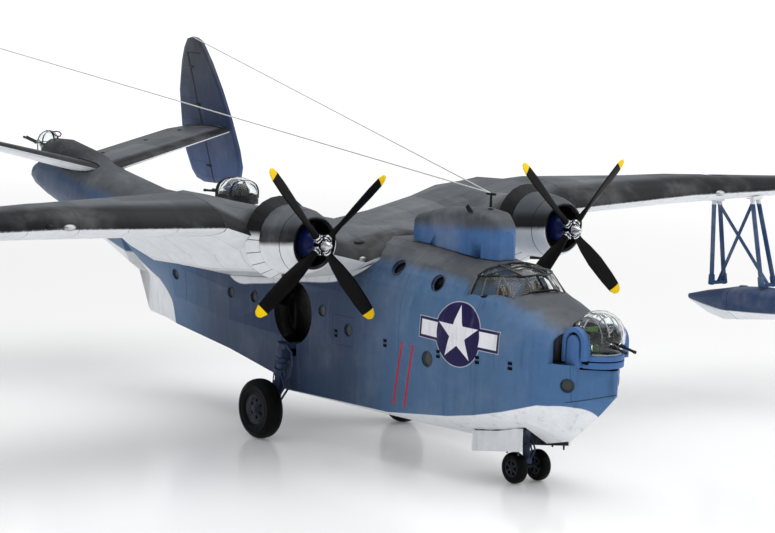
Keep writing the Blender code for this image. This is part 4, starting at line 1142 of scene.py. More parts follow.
@dataclass
class Studio:
    """The camera at the photograph's place, the pale floor and the soft lights."""

    camera_place: tuple[float, float, float] = (-39.80463, -41.81702, 12.36383)
    heading: float = math.radians(38.479)
    dip: float = math.radians(7.246)
    roll: float = math.radians(1.709)
    lens: float = 127.03
    floor_size: float = 6.0
    world_light: float = 0.68
    world_gloss: float = 0.40
    overhead_power: float = 11.0
    side_power: float = 4.0

    def make_camera(self) -> None:
        """Sets up the camera that matches the photograph."""
        ahead = Vector((
            math.cos(self.dip) * math.sin(self.heading), math.cos(self.dip) * math.cos(self.heading),
            -math.sin(self.dip),
        ))
        level = Vector((math.cos(self.heading), -math.sin(self.heading), 0.0))
        up = level.cross(ahead)
        right = level * math.cos(self.roll) + up * math.sin(self.roll)
        top = up * math.cos(self.roll) - level * math.sin(self.roll)
        data = bpy.data.cameras.new("camera")
        data.lens = self.lens
        data.sensor_width = 36.0
        data.clip_start = 0.01
        camera = bpy.data.objects.new("camera", data)
        turn = Matrix((right, top, -ahead)).transposed().to_4x4()
        camera.matrix_world = Matrix.Translation(TO_MODEL @ Vector(self.camera_place)) @ turn
        bpy.context.scene.collection.objects.link(camera)
        bpy.context.scene.camera = camera

    def make_floor(self) -> None:
        """Lays the pale floor that the model stands on."""
        bm = bmesh.new()
        bmesh.ops.create_grid(bm, x_segments=1, y_segments=1, size=self.floor_size)
        mesh = bpy.data.meshes.new("floor")
        bm.to_mesh(mesh)
        bm.free()
        made = bpy.data.materials.new("pale floor")
        made.use_nodes = True
        shader = made.node_tree.nodes["Principled BSDF"]
        w = Wiring(made.node_tree)
        w.feed(shader.inputs["Base Color"], (0.93, 0.93, 0.93))
        w.feed(shader.inputs["Roughness"], 0.16)
        w.feed(shader.inputs["Specular IOR Level"], 0.35)
        source = w.tree.nodes.new("ShaderNodeTexCoord")
        x, y, _ = w.parts(source.outputs["Object"])
        away = w.math("SQRT", w.total(w.product(x, x), w.product(y, y)))
        w.feed(shader.inputs["Emission Color"], w.blend((0.07,) * 3, (0.60,) * 3, w.step(away, 0.25, 1.5)))
        w.feed(shader.inputs["Emission Strength"], 1.0)
        mesh.materials.append(made)
        floor = bpy.data.objects.new("floor", mesh)
        bpy.context.scene.collection.objects.link(floor)

    def make_light(self, name: str, place: Iterable[float], aim: Iterable[float], size: float, power: float) -> None:
        """Hangs a soft square light.

        Args:
            name: The light's name.
            place: Where it hangs, in the model's frame.
            aim: What it looks at.
            size: The length of its sides.
            power: Its strength in watts.
        """
        data = bpy.data.lights.new(name, "AREA")
        data.size = size
        data.energy = power
        lamp = bpy.data.objects.new(name, data)
        lamp.location = place
        lamp.rotation_euler = (Vector(aim) - Vector(place)).to_track_quat("-Z", "Y").to_euler()
        bpy.context.scene.collection.objects.link(lamp)

    def make(self) -> None:
        """Builds the whole studio."""
        bpy.context.scene.view_settings.view_transform = "Standard"
        self.make_camera()
        self.make_floor()
        self.make_world()
        self.make_light("overhead", (0.2, -0.1, 1.2), (0.0, 0.0, 0.05), 1.4, self.overhead_power)
        self.make_light("port side", (1.1, -0.7, 0.7), (0.0, 0.0, 0.06), 0.8, self.side_power)

    def make_world(self) -> None:
        """Lights the studio from all round, more softly than the white that the camera sees behind the model."""
        world = bpy.data.worlds.new("studio")
        world.use_nodes = True
        w = Wiring(world.node_tree)
        ray = w.tree.nodes.new("ShaderNodeLightPath")
        seen = w.largest(ray.outputs["Is Camera Ray"], ray.outputs["Is Transmission Ray"])
        light = w.blend(
            (self.world_light,) * 3, (self.world_gloss,) * 3, ray.outputs["Is Glossy Ray"],
        )
        shown = w.tree.nodes["Background"]
        w.feed(shown.inputs["Color"], w.blend(light, (1.0, 1.0, 1.0), seen))
        w.feed(shown.inputs["Strength"], 1.0)
        bpy.context.scene.world = world


@dataclass(frozen=True)
class FlapPaint(Paint):
    """The open cowl flaps: dark above, white below, with the joint between each flap and the next."""

    hub_x: float = 3.697
    hub_z: float = 5.183
    flap_count: int = 18

    def pattern(self, w: Wiring, place: Socket) -> Coat:
        """Lays the joints by the turn round the shaft."""
        x, _, z = w.parts(place)
        off_x = w.math("SUBTRACT", w.math("ABSOLUTE", x), self.hub_x)
        off_z = w.math("SUBTRACT", z, self.hub_z)
        turn = w.math("DIVIDE", w.math("ARCTAN2", off_x, off_z), math.tau / self.flap_count)
        near = w.math("ABSOLUTE", w.math("SUBTRACT", w.math("FRACT", w.total(turn, 20.0)), 0.5))
        colour = w.blend(Tone.UNDER_WHITE.value, self.tone.value, w.step(off_z, 0.04, 0.22))
        return Coat(colour, w.step(near, 0.045, 0.025))


@dataclass(frozen=True)
class DoorPaint(Paint):
    """The nose bay's doors: white outside, dark inside."""

    def pattern(self, w: Wiring, place: Socket) -> Coat:
        """Tells inside from outside by the way that each face looks."""
        x, _, _ = w.parts(place)
        source = w.tree.nodes.new("ShaderNodeTexCoord")
        inward = w.product(w.parts(source.outputs["Normal"])[0], x)
        return Coat(w.blend(self.tone.value, shade(34, 40, 56), w.step(inward, 0.0, -0.1)))


BLADES = BladePaint("blade paint", Tone.BLADE_BLACK, roughness=0.40, streaks=0.0, fade=0.0, specular=0.08)
SILVER = Paint("hub silver", Tone.SILVER, roughness=0.24, metallic=0.85, fade=0.05, streaks=0.0)
STEEL = Paint("worn steel", Tone.STEEL, roughness=0.34, metallic=0.8, fade=0.1, streaks=0.0)
CASE = Paint("crankcase paint", Tone.CASE_BLUE, roughness=0.28, fade=0.05, streaks=0.0)
CYLINDERS = Paint("cylinder black", Tone.BLACK_AND_SHADE, roughness=0.55, fade=0.3, streaks=0.0)
RUBBER = Paint("tyre rubber", Tone.TYRE_BLACK, roughness=0.45, fade=0.0, streaks=0.0, specular=0.08)
WHEELS = Paint("wheel paint", Tone.HUB_BLUE, roughness=0.42, streaks=0.0)
GEAR = Paint("gear paint", Tone.GEAR_BLUE, roughness=0.36, streaks=0.0)
GUNS = Paint("gun metal", Tone.GUN_GREY, roughness=0.36, metallic=0.5, fade=0.1, streaks=0.0)
GREEN = Paint("turret green", Tone.TURRET_GREEN, streaks=0.0)
WHITE = DoorPaint("door paint", Tone.UNDER_WHITE, streaks=0.14)
DARK = Paint("fitting paint", Tone.NEAR_BLACK, streaks=0.0)
# Black for pieces that stand for shade: the vent slots, the gap behind the bow turret's bands and ears, the main
# wheels' holes and the room behind the nose wheels' spokes, all painted shade.
BLACK = Paint("painted shade black", Tone.BLACK_AND_SHADE, roughness=0.7, fade=0.0, streaks=0.0, specular=0.06)
SIDE = Paint("ring paint", Tone.NOSE_BLUE, fade=0.08, streaks=0.10)
DEEP = Paint("side fitting paint", Tone.DEEP_BLUE, fade=0.1, streaks=0.05)
TAN = Paint("seat tan", Tone.SEAT_TAN, roughness=0.6, streaks=0.0)
BELT = Paint("belt cloth", Tone.BELT, roughness=0.7, streaks=0.0)
FRAME = Paint("canopy frame paint", Tone.FRAME_GREY, roughness=0.4, streaks=0.0)
THREAD = Paint("aerial wire", Tone.WIRE, roughness=0.5, fade=0.0, streaks=0.0)
# The portholes' panes are glossy, with a dark colour that is partly painted shade of the hull's inside; the roof
# windows' panes are glossy black, painted shade of the dark inside.
PORTHOLE_GLASS_AND_SHADE = Paint("porthole pane and shade", Tone.PORTHOLE_GLASS_AND_SHADE, roughness=0.08, fade=0.1, streaks=0.0)
WINDOW_SHADE_BLACK = Paint("dark window", Tone.BLACK_AND_SHADE, roughness=0.06, fade=0.0, streaks=0.0)
DIAL = Paint("dial face", Tone.WIRE, roughness=0.3, fade=0.0, streaks=0.0)
CLEAR = Glass("clear plastic")


def bow(centre: Iterable[float], first: Iterable[float], second: Iterable[float], radius: float, start: float,
        end: float, count: int = 12) -> list[Vector]:
    """Places along an arc.

    Args:
        centre: The arc's centre.
        first: The direction of the angle 0.
        second: The direction of a quarter turn.
        radius: The arc's radius.
        start: The angle in degrees that it starts at.
        end: The angle that it ends at.
        count: How many steps it has.

    Returns:
        The places in order.
    """
    turns = [math.radians(start + (end - start) * step / count) for step in range(count + 1)]
    middle, level, rise = Vector(centre), Vector(first), Vector(second)
    return [middle + (level * math.cos(turn) + rise * math.sin(turn)) * radius for turn in turns]


def radial(angle: float) -> Vector:
    """The direction at an angle in degrees round a shaft that runs fore and aft, from straight up."""
    return Vector((math.sin(math.radians(angle)), 0.0, math.cos(math.radians(angle))))


@dataclass
class Hull:
    """The hull with its portholes, its two dark windows, its vents and the small fittings on it."""

    portholes: tuple[tuple[float, float, float], ...] = (
        (15.206, 3.283, 0.13), (12.479, 3.179, 0.13), (11.487, 3.195, 0.135), (8.727, 3.222, 0.135),
        (7.714, 2.894, 0.14), (4.838, 2.635, 0.17), (1.025, 2.544, 0.14),
    )
    windows: tuple[tuple[float, float, float], ...] = ((6.321, 4.515, 0.19), (4.843, 4.333, 0.19))
    vents: tuple[tuple[float, float], ...] = ((8.17, 2.766), (6.326, 2.79), (4.461, 2.802), (3.223, 2.841), (2.281, 2.836))
    recess: float = 0.06
    rim_width: float = 0.020
    rim_rise: float = 0.010
    vent_size: tuple[float, float, float] = (0.05, 0.12, 0.07)
    vent_spacing: float = 0.11

    def seats(self, shop: "Shop", spots: Sequence[tuple[float, ...]]) -> list[tuple[Vector, Vector, float]]:
        """Where spots at a station and height lie on both sides of the hull.

        Args:
            shop: The workshop, which knows the hull's surface.
            spots: Each spot's y and z, and its radius where it has one.

        Returns:
            Each spot's place, the way out of the hull there, and its radius.
        """
        found = []
        for spot in spots:
            for sign in SIDES.values():
                place, out = shop.seat("hull", (sign * 4.0, spot[0], spot[1]), (-sign, 0.0, 0.0))
                found.append((place, out, spot[-1]))
        return found

    def glazing(self, shop: "Shop") -> Shape:
        """Fits the round windows, and gives the cutter that makes their recesses."""
        cutter, rims, panes, darks = Shape(), Shape(), Shape(), Shape()
        for index, (place, out, radius) in enumerate(self.seats(shop, self.portholes + self.windows)):
            depth = self.recess if index < 2 * len(self.portholes) else 1.6 * self.recess
            cutter.rod(place + out * 0.08, place - out * depth, radius, sides=28)
            rise, edge = self.rim_rise, radius + self.rim_width
            rims.turned(
                ((-0.03, radius - 0.002), (rise, radius - 0.002), (rise, edge - 0.008), (0.0, edge), (-0.03, edge)),
                place, out, 28,
            )
            # The portholes' panes are glossy dark grey-green, partly glass and partly painted shade of the hull's dark
            # inside; the two roof windows' panes are glossy black, painted shade of their dark inside.
            pane = panes if index < 2 * len(self.portholes) else darks
            foot = -depth + 0.004
            pane.turned(((foot, 0.0), (foot, radius - 0.006), (foot + 0.014, radius - 0.012), (foot + 0.022, 0.0)), place, out, 28)
        shop.piece("porthole_rims", rims, DEEP)
        shop.piece("porthole_panes", panes, PORTHOLE_GLASS_AND_SHADE, angle=50.0)
        shop.piece("roof_window_shade_panes", darks, WINDOW_SHADE_BLACK, angle=50.0)
        return cutter

    def fittings(self, shop: "Shop") -> None:
        """Adds the vents, with a lip over each slot."""
        slots, hoods = Shape(), Shape()
        deep, wide, tall = self.vent_size
        for place, out, _ in self.seats(shop, self.vents):
            turn = out.to_track_quat("X", "Z").to_matrix().to_4x4()
            for step in (-0.5, 0.5):
                middle = place + Vector((0.0, 0.0, step * self.vent_spacing))
                # Painted shade: each slot is a black block standing for the shade inside the vent.
                slots.block(middle - out * (deep / 2 - 0.004), self.vent_size, turn)
                hoods.block(middle + Vector((0.0, 0.0, tall / 2)), (0.030, wide, 0.014), turn, 0.004)
        shop.piece("hull_vent_slots", slots, BLACK)
        shop.piece("hull_vent_lips", hoods, DEEP)

    def build(self, shop: "Shop") -> None:
        """Builds and dresses the hull."""
        finish = HullPaint("hull paint", Tone.SIDE_BLUE, roughness=0.42, fade=0.10, streaks=0.24)
        shop.skin("hull", finish, 24.0, self.glazing(shop))
        self.fittings(shop)


@dataclass
class Wings:
    """The three parts of the wing, their lamps and bumps, and the nacelles that the centre part carries."""

    lamps: tuple[tuple[float, float, float], ...] = ((10.54, 7.82, 5.60), (-9.09, 7.71, 5.63))
    bump: tuple[float, float, float] = (-9.56, 7.77, 5.66)
    root_bump: tuple[float, float] = (1.25, 7.75)
    root_lamp: tuple[float, float, float] = (1.60, 7.17, 4.62)
    aileron_hinges: tuple[float, ...] = (10.2, 13.0, 15.8)

    def build(self, shop: "Shop") -> None:
        """Builds and dresses the wing."""
        finish = WingPaint("wing paint", Tone.TOP_GREY, roughness=0.44, fade=0.16, streaks=0.0, specular=0.08)
        for node in ("wing_centre", "wing_port", "wing_starboard"):
            shop.skin(node, finish, 32.0)
        glass, cups, bumps = Shape(), Shape(), Shape()
        for x, y, z in self.lamps:
            cups.ball((x, y + 0.04, z), (0.16, 0.10, 0.075), 20)
            glass.ball((x, y + 0.02, z), (0.12, 0.10, 0.055), 20)
        bumps.ball(self.bump, (0.10, 0.10, 0.06), 16)
        for sign in SIDES.values():
            x, y = self.root_bump
            place, _ = shop.seat("wing_centre", (sign * x, y, 8.0), (0.0, 0.0, -1.0))
            bumps.ball(place, (0.15, 0.09, 0.05), 16)
            x, y, z = self.root_lamp
            cups.ball((sign * x, y, z), (0.10, 0.05, 0.06), 16)
            self.hinge_fairings(shop, bumps, sign)
        shop.piece("landing_lamp_cups", cups, STEEL, angle=60.0)
        shop.piece("landing_lamp_glass", glass, DIAL, angle=60.0)
        shop.piece("wing_bumps", bumps, DARK, angle=60.0)

    def hinge_fairings(self, shop: "Shop", bumps: Shape, sign: int) -> None:
        """Adds the small fairings under the ailerons' hinges."""
        for x in self.aileron_hinges:
            y = 10.75 - (x - 9.5) * 0.14
            node = "wing_port" if sign > 0 else "wing_starboard"
            place, _ = shop.seat(node, (sign * x, y, 3.0), (0.0, 0.0, 1.0))
            bumps.block(place, (0.05, 0.34, 0.07), None, 0.015)


@dataclass
class Engines:
    """The two radial engines in their cowlings, with the flaps open behind them."""

    centre_x: float = 3.697
    centre_z: float = 5.183
    rows: tuple[tuple[float, float], ...] = ((6.80, 0.0), (7.04, 20.0))
    cylinders: int = 9
    barrel_radius: float = 0.080
    foot: float = 0.26
    head: float = 0.50
    top: float = 0.585
    fins: int = 9

    def cylinder(self, shape: Shape, centre: Vector, out: Vector) -> None:
        """Adds one finned cylinder with its head."""
        profile = [(self.foot, 0.0)]
        step = (self.head - self.foot) / self.fins
        for index in range(self.fins):
            low = self.foot + index * step
            profile += [(low, self.barrel_radius), (low + step * 0.45, self.barrel_radius), (low + step * 0.5, 0.062),
                        (low + step, 0.062)]
        profile += [(self.head, 0.088), (self.top - 0.02, 0.084), (self.top, 0.055), (self.top, 0.0)]
        shape.turned(profile, centre, out, 12)

    def build(self, shop: "Shop") -> None:
        """Builds and dresses both engines."""
        cowls = SplitPaint(
            "cowling paint", Tone.TOP_GREY, roughness=0.36, border=((6.0, 5.22), (7.7, 5.06)), soft=0.07, ragged=0.06, band=0.30,
            line_stations=(6.56,), inner=0.56, streaks=0.05,
        )
        flaps = FlapPaint("cowl flap paint", Tone.NEAR_BLACK, fade=0.05, streaks=0.0, specular=0.12)
        for side, sign in SIDES.items():
            shop.skin(f"cowling_{side}", cowls, 40.0)
            shop.skin(f"cowl_flaps_{side}", flaps)
            middle = Vector((sign * self.centre_x, 0.0, self.centre_z))
            case, block, rods = Shape(), Shape(), Shape()
            case.turned(
                ((6.11, 0.0), (6.11, 0.11), (6.16, 0.13), (6.20, 0.20), (6.27, 0.27), (6.38, 0.315), (6.52, 0.33),
                 (6.62, 0.31), (6.64, 0.36), (6.70, 0.36), (6.72, 0.0)),
                middle, (0.0, 1.0, 0.0), 40,
            )
            for index in range(self.cylinders):
                spoke = radial(index * 360 / self.cylinders + 20.0)
                rods.rod(middle + Vector((0, 6.56, 0)) + spoke * 0.31, middle + Vector((0, 6.60, 0)) + spoke * 0.34, 0.03, 0.02)
            for y, start in self.rows:
                for index in range(self.cylinders):
                    spoke = radial(start + index * 360 / self.cylinders)
                    self.cylinder(block, middle + Vector((0.0, y, 0.0)), spoke)
                    if y == self.rows[0][0]:
                        for lean in (-5.0, 5.0):
                            tilt = radial(start + lean + index * 360 / self.cylinders)
                            foot, head = Vector((0, 6.62, 0)) + tilt * 0.33, Vector((0, 6.72, 0)) + tilt * 0.54
                            rods.rod(middle + foot, middle + head, 0.012, sides=8)
            block.turned(((7.12, 0.0), (7.12, 0.36), (7.16, 0.665), (7.20, 0.665), (7.22, 0.0)), middle, (0.0, 1.0, 0.0), 36)
            rods.hoop(middle + Vector((0.0, 6.66, 0.0)), (0.0, 1.0, 0.0), 0.40, 0.016, 36)
            shop.piece(f"engine_nose_case_{side}", case, CASE, replaces=(f"engine_{side}",), angle=32.0)
            shop.piece(f"engine_cylinders_{side}", block, CYLINDERS)
            shop.piece(f"engine_rods_{side}", rods, DARK)
            scoop = Shape()
            scoop.block(middle + Vector((0.0, 7.08, -0.80)), (0.30, 0.34, 0.07), Matrix.Rotation(-0.10, 4, "X"), 0.02)
            shop.piece(f"oil_cooler_scoop_{side}", scoop, DARK)


@dataclass
class Propellers:
    """The two four-bladed propellers with their silver hubs."""

    centre_x: float = 3.697
    plane_y: float = 5.95
    centre_z: float = 5.183
    first_blade: dict[str, float] = field(default_factory=lambda: {"port": -0.782, "starboard": -0.704})

    def hub(self, middle: Vector, first: float) -> Shape:
        """The barrel, the dome and the four clamps with their bolts."""
        shape = Shape()
        ahead = Vector((0.0, -1.0, 0.0))
        shape.turned(
            ((-0.10, 0.0), (-0.10, 0.105), (-0.085, 0.128), (0.085, 0.128), (0.10, 0.11), (0.125, 0.105), (0.20, 0.102),
             (0.25, 0.088), (0.285, 0.064), (0.30, 0.052), (0.325, 0.046), (0.335, 0.028), (0.335, 0.0)),
            middle, ahead, 28,
        )
        for index in range(4):
            angle = first + index * math.pi / 2
            out = Vector((math.sin(angle), 0.0, math.cos(angle)))
            side = out.cross(ahead)
            shape.turned(
                ((0.05, 0.0), (0.05, 0.076), (0.125, 0.076), (0.13, 0.094), (0.17, 0.094), (0.175, 0.078),
                 (0.205, 0.078), (0.21, 0.090), (0.245, 0.090), (0.25, 0.074), (0.265, 0.0)),
                middle, out, 20,
            )
            for lean in (-1, 1):
                bolt = middle + out * 0.19 + side * lean * 0.098
                shape.rod(bolt - ahead * 0.05, bolt + ahead * 0.05, 0.020, sides=8)
            between = (out + side).normalized()
            shape.rod(middle + between * 0.105 + ahead * 0.02, middle + between * 0.105 + ahead * 0.14, 0.024, 0.020, 10)
        return shape

    def build(self, shop: "Shop") -> None:
        """Builds and dresses both propellers."""
        for side, sign in SIDES.items():
            body = f"propeller_{side}_body"
            middle = Vector((sign * self.centre_x, self.plane_y, self.centre_z))
            shop.skin(f"propeller_{side}", BLADES, 50.0)
            shop.piece(
                f"propeller_clamps_{side}", self.hub(middle, self.first_blade[side]), SILVER, body,
                (f"propeller_hub_{side}",), 40.0,
            )


@dataclass
class Tail:
    """The tailplane and the two canted fins with their hinges."""

    foot: tuple[float, float] = (4.25, 6.38)
    cant: float = math.radians(13.5)
    hinge_heights: tuple[float, ...] = (-1.15, 0.65, 1.75)

    def place(self, sign: int, y: float, up: float, out: float) -> Vector:
        """A place on a fin by its height up it and how far it is outside its middle."""
        x = self.foot[0] - math.sin(self.cant) * up + math.cos(self.cant) * out
        return Vector((sign * x, y, self.foot[1] + math.cos(self.cant) * up + math.sin(self.cant) * out))

    def build(self, shop: "Shop") -> None:
        """Builds and dresses the tail."""
        paint = TailPaint("tailplane paint", Tone.TOP_GREY, roughness=0.36, fade=0.15, streaks=0.0, border=-0.02)
        shop.skin("tailplane", paint, 32.0)
        fins = FinPaint("fin paint", Tone.SIDE_BLUE, fade=0.10, streaks=0.25)
        hinges, roots = Shape(), Shape()
        for side, sign in SIDES.items():
            shop.skin(f"fin_{side}", fins)
            for up in self.hinge_heights:
                for out in (-0.075, 0.075):
                    hinges.block(self.place(sign, 22.16, up, out), (0.035, 0.26, 0.075), Matrix.Rotation(-sign * self.cant, 4, "Y"), 0.01)
            top = (20.85, 21.4, 22.0, 22.6)
            points = []
            for y in top:
                place, _ = shop.seat("tailplane", (sign * 3.98, y, 8.0), (0.0, 0.0, -1.0))
                points.append(place)
            roots.path(points, 0.035, 8)
            for x in (0.9, 2.29, 3.4):
                place, _ = shop.seat("tailplane", (sign * x, 22.2 - 0.02 * x, 8.0), (0.0, 0.0, -1.0))
                hinges.block(place, (0.07, 0.16, 0.03), Matrix.Rotation(-sign * 0.236, 4, "Y"), 0.008)
        shop.piece("tail_hinges", hinges, DARK)
        shop.piece("tailplane_root_fairings", roots, DARK)


@dataclass
class Floats:
    """The two wing floats on their struts, with the deck fittings."""

    centre_x: float = 12.25
    feet: tuple[tuple[float, float], ...] = ((9.46, 2.93), (7.62, 3.08))
    tops: tuple[tuple[float, float], ...] = ((9.635, 5.24), (8.254, 5.42))
    spread_low: float = 0.24
    spread_top: float = 0.10

    def build(self, shop: "Shop") -> None:
        """Builds and dresses both floats."""
        hulls = SplitPaint(
            "float paint", Tone.FLOAT_BLUE, border=((5.0, 2.66), (6.6, 2.50), (7.5, 2.42), (8.8, 2.34), (10.6, 2.44)),
            soft=0.02, ragged=0.02, streaks=0.14, line_stations=(6.2, 8.66),
        )
        struts = SplitPaint(
            "strut paint", Tone.UNDER_WHITE, below=Tone.STRUT_BLUE, border=((7.6, 5.22), (8.7, 5.22), (9.2, 5.08), (9.9, 5.06)),
            soft=0.02, ragged=0.03, streaks=0.1,
        )
        cuffs, deck = Shape(), Shape()
        for side, sign in SIDES.items():
            shop.skin(f"float_{side}", hulls)
            shop.skin(f"float_struts_{side}", struts)
            x = sign * self.centre_x
            for (low_y, low_z), (top_y, top_z) in zip(self.feet, self.tops):
                for lean in (-1, 1):
                    low = Vector((x + lean * self.spread_low, low_y, low_z))
                    top = Vector((x + lean * self.spread_top, top_y, top_z))
                    along = (top - low).normalized()
                    cuffs.rod(low + along * 0.02, low + along * 0.28, 0.092, 0.082, 14)
            for y in (6.9, 8.5):
                place, _ = shop.seat(f"float_{side}", (x, y, 4.0), (0.0, 0.0, -1.0))
                deck.turned(((-0.02, 0.0), (-0.02, 0.12), (0.014, 0.12), (0.02, 0.10), (0.02, 0.0)), place, (0.0, 0.0, 1.0), 20)
            place, _ = shop.seat(f"float_{side}", (x, 5.7, 4.0), (0.0, 0.0, -1.0))
            deck.block(place, (0.05, 0.22, 0.08), None, 0.015)
        shop.piece("float_strut_cuffs", cuffs, Paint("cuff paint", Tone.STRUT_BLUE, streaks=0.1))
        shop.piece("float_deck_fittings", deck, Paint("deck fitting paint", Tone.FLOAT_BLUE, streaks=0.1))


@dataclass
class Cockpit:
    """The glazed canopy with its frames, and the crew's seats, wheels and panel."""

    middle: tuple[float, float, float] = (0.0, 3.30, 4.05)
    floor: float = 3.322
    seat_x: float = 0.42
    frame_radius: float = 0.020
    lines: tuple[tuple[tuple[float, float, float], ...], ...] = (
        ((1.24, 3.76, 4.12), (0.983, 3.765, 4.607)),
        ((1.124, 3.46, 4.160), (0.930, 3.53, 4.608)),
        ((0.951, 3.16, 4.195), (0.740, 3.28, 4.627)),
        ((0.768, 2.80, 4.165), (0.700, 3.27, 4.645)),
        ((0.305, 2.69, 4.345), (0.290, 2.985, 4.645)),
        ((1.24, 3.76, 4.115), (1.12, 3.46, 4.150), (0.95, 3.16, 4.185), (0.768, 2.80, 4.165)),
    )
    roof_lines: tuple[tuple[tuple[float, float, float], ...], ...] = (
        ((0.768, 2.80, 4.165), (0.30, 2.69, 4.345), (0.0, 2.68, 4.360)),
        ((0.0, 2.66, 4.37), (0.0, 2.80, 4.52), (0.0, 2.95, 4.68)),
        ((0.983, 3.765, 4.607), (0.93, 3.53, 4.608), (0.70, 3.27, 4.645), (0.29, 2.985, 4.645), (0.0, 2.97, 4.665)),
        ((0.93, 3.53, 4.620), (0.62, 3.50, 4.715), (0.0, 3.47, 4.785)),
        ((0.36, 2.99, 4.650), (0.36, 3.30, 4.73), (0.36, 3.77, 4.815)),
        ((0.983, 3.765, 4.607), (0.647, 3.77, 4.745), (0.35, 3.77, 4.815), (0.0, 3.77, 4.830)),
    )

    def frames(self, shop: "Shop", lines: Sequence[Sequence[tuple[float, float, float]]], radius: float) -> Shape:
        """Frames laid on the canopy's outside, on both sides.

        Args:
            shop: The workshop, which knows the canopy's surface.
            lines: The frames' courses.
            radius: The frames' thickness.

        Returns:
            The frames.
        """
        shape = Shape()
        middle = Vector(self.middle)
        for line in lines:
            places = []
            for near, far in zip(line, line[1:]):
                places += [Vector(near).lerp(Vector(far), step / 5) for step in range(5)]
            places.append(Vector(line[-1]))
            laid = [shop.surface("canopy").find_nearest(middle + (place - middle) * 1.04)[0] for place in places]
            laid = [place + (place - middle).normalized() * 0.006 for place in laid]
            for sign in SIDES.values():
                shape.path([(sign * place.x, place.y, place.z) for place in laid], radius, 6)
        return shape

    def seats(self, shop: "Shop") -> None:
        """The two seats with their cushions and belts."""
        for side, sign in SIDES.items():
            x = sign * self.seat_x
            seat, belt = Shape(), Shape()
            seat.block((x, 3.34, self.floor + 0.21), (0.42, 0.34, 0.40), None, 0.03)
            seat.block((x, 3.32, self.floor + 0.43), (0.38, 0.32, 0.06), None, 0.028)
            seat.block((x, 3.545, self.floor + 0.66), (0.42, 0.09, 0.76), None, 0.03)
            seat.block((x, 3.49, self.floor + 0.68), (0.34, 0.05, 0.60), None, 0.022)
            for lean in (-1, 1):
                seat.block((x + lean * 0.22, 3.36, self.floor + 0.52), (0.035, 0.30, 0.05), None, 0.012)
                belt.strap(
                    [(x + lean * 0.08, 3.46, self.floor + 1.03), (x + lean * 0.09, 3.455, self.floor + 0.75),
                     (x + lean * 0.06, 3.44, self.floor + 0.52), (x + lean * 0.02, 3.30, self.floor + 0.475)],
                    (0.05, 0.0, 0.0), 0.010,
                )
            shop.piece(f"pilot_seat_{side}", seat, TAN, replaces=(f"seat_{side}",))
            shop.piece(f"seat_belts_{side}", belt, BELT)

    def panel(self, shop: "Shop") -> None:
        """The panel with its dials, and the two control wheels."""
        panel, dials, wheels = Shape(), Shape(), Shape()
        panel.block((0.0, 2.965, self.floor + 0.60), (1.38, 0.07, 0.46), None, 0.015)
        panel.block((0.0, 3.02, self.floor + 0.845), (1.38, 0.18, 0.025), None, 0.010)
        panel.block((0.0, 3.22, self.floor + 0.22), (0.16, 0.44, 0.36), None, 0.02)
        for column in range(-5, 6):
            for row in range(2):
                x, z = column * 0.115, self.floor + 0.52 + row * 0.15
                dials.turned(((0.0, 0.0), (0.0, 0.038), (0.010, 0.042), (0.010, 0.0)), (x, 3.0, z), (0.0, 1.0, 0.0), 14)
        for sign in SIDES.values():
            x = sign * self.seat_x
            wheels.rod((x, 3.04, self.floor), (x, 3.12, self.floor + 0.62), 0.022, sides=10)
            wheels.path(bow((x, 3.13, self.floor + 0.66), (1, 0, 0), (0, 0.15, 1), 0.14, -220.0, 40.0, 16), 0.016, 8)
            wheels.rod((x - 0.13, 3.13, self.floor + 0.64), (x + 0.13, 3.13, self.floor + 0.64), 0.014, sides=8)
        for lean in (-0.04, 0.0, 0.04):
            wheels.rod((lean, 3.10, self.floor + 0.40), (lean, 3.04, self.floor + 0.56), 0.010, sides=8)
        shop.piece("panel_board", panel, DARK, replaces=("instrument_panel",))
        shop.piece("panel_dials", dials, DIAL)
        shop.piece("control_wheels", wheels, DARK)

    def build(self, shop: "Shop") -> None:
        """Builds and dresses the cockpit."""
        shop.skin("canopy", CLEAR, 12.0)
        shop.piece("canopy_frames", self.frames(shop, self.lines, self.frame_radius), FRAME, angle=60.0)
        roof = self.frames(shop, self.roof_lines, 1.4 * self.frame_radius)
        shop.piece("canopy_roof_frames", roof, DARK, angle=60.0)
        self.seats(shop)
        self.panel(shop)


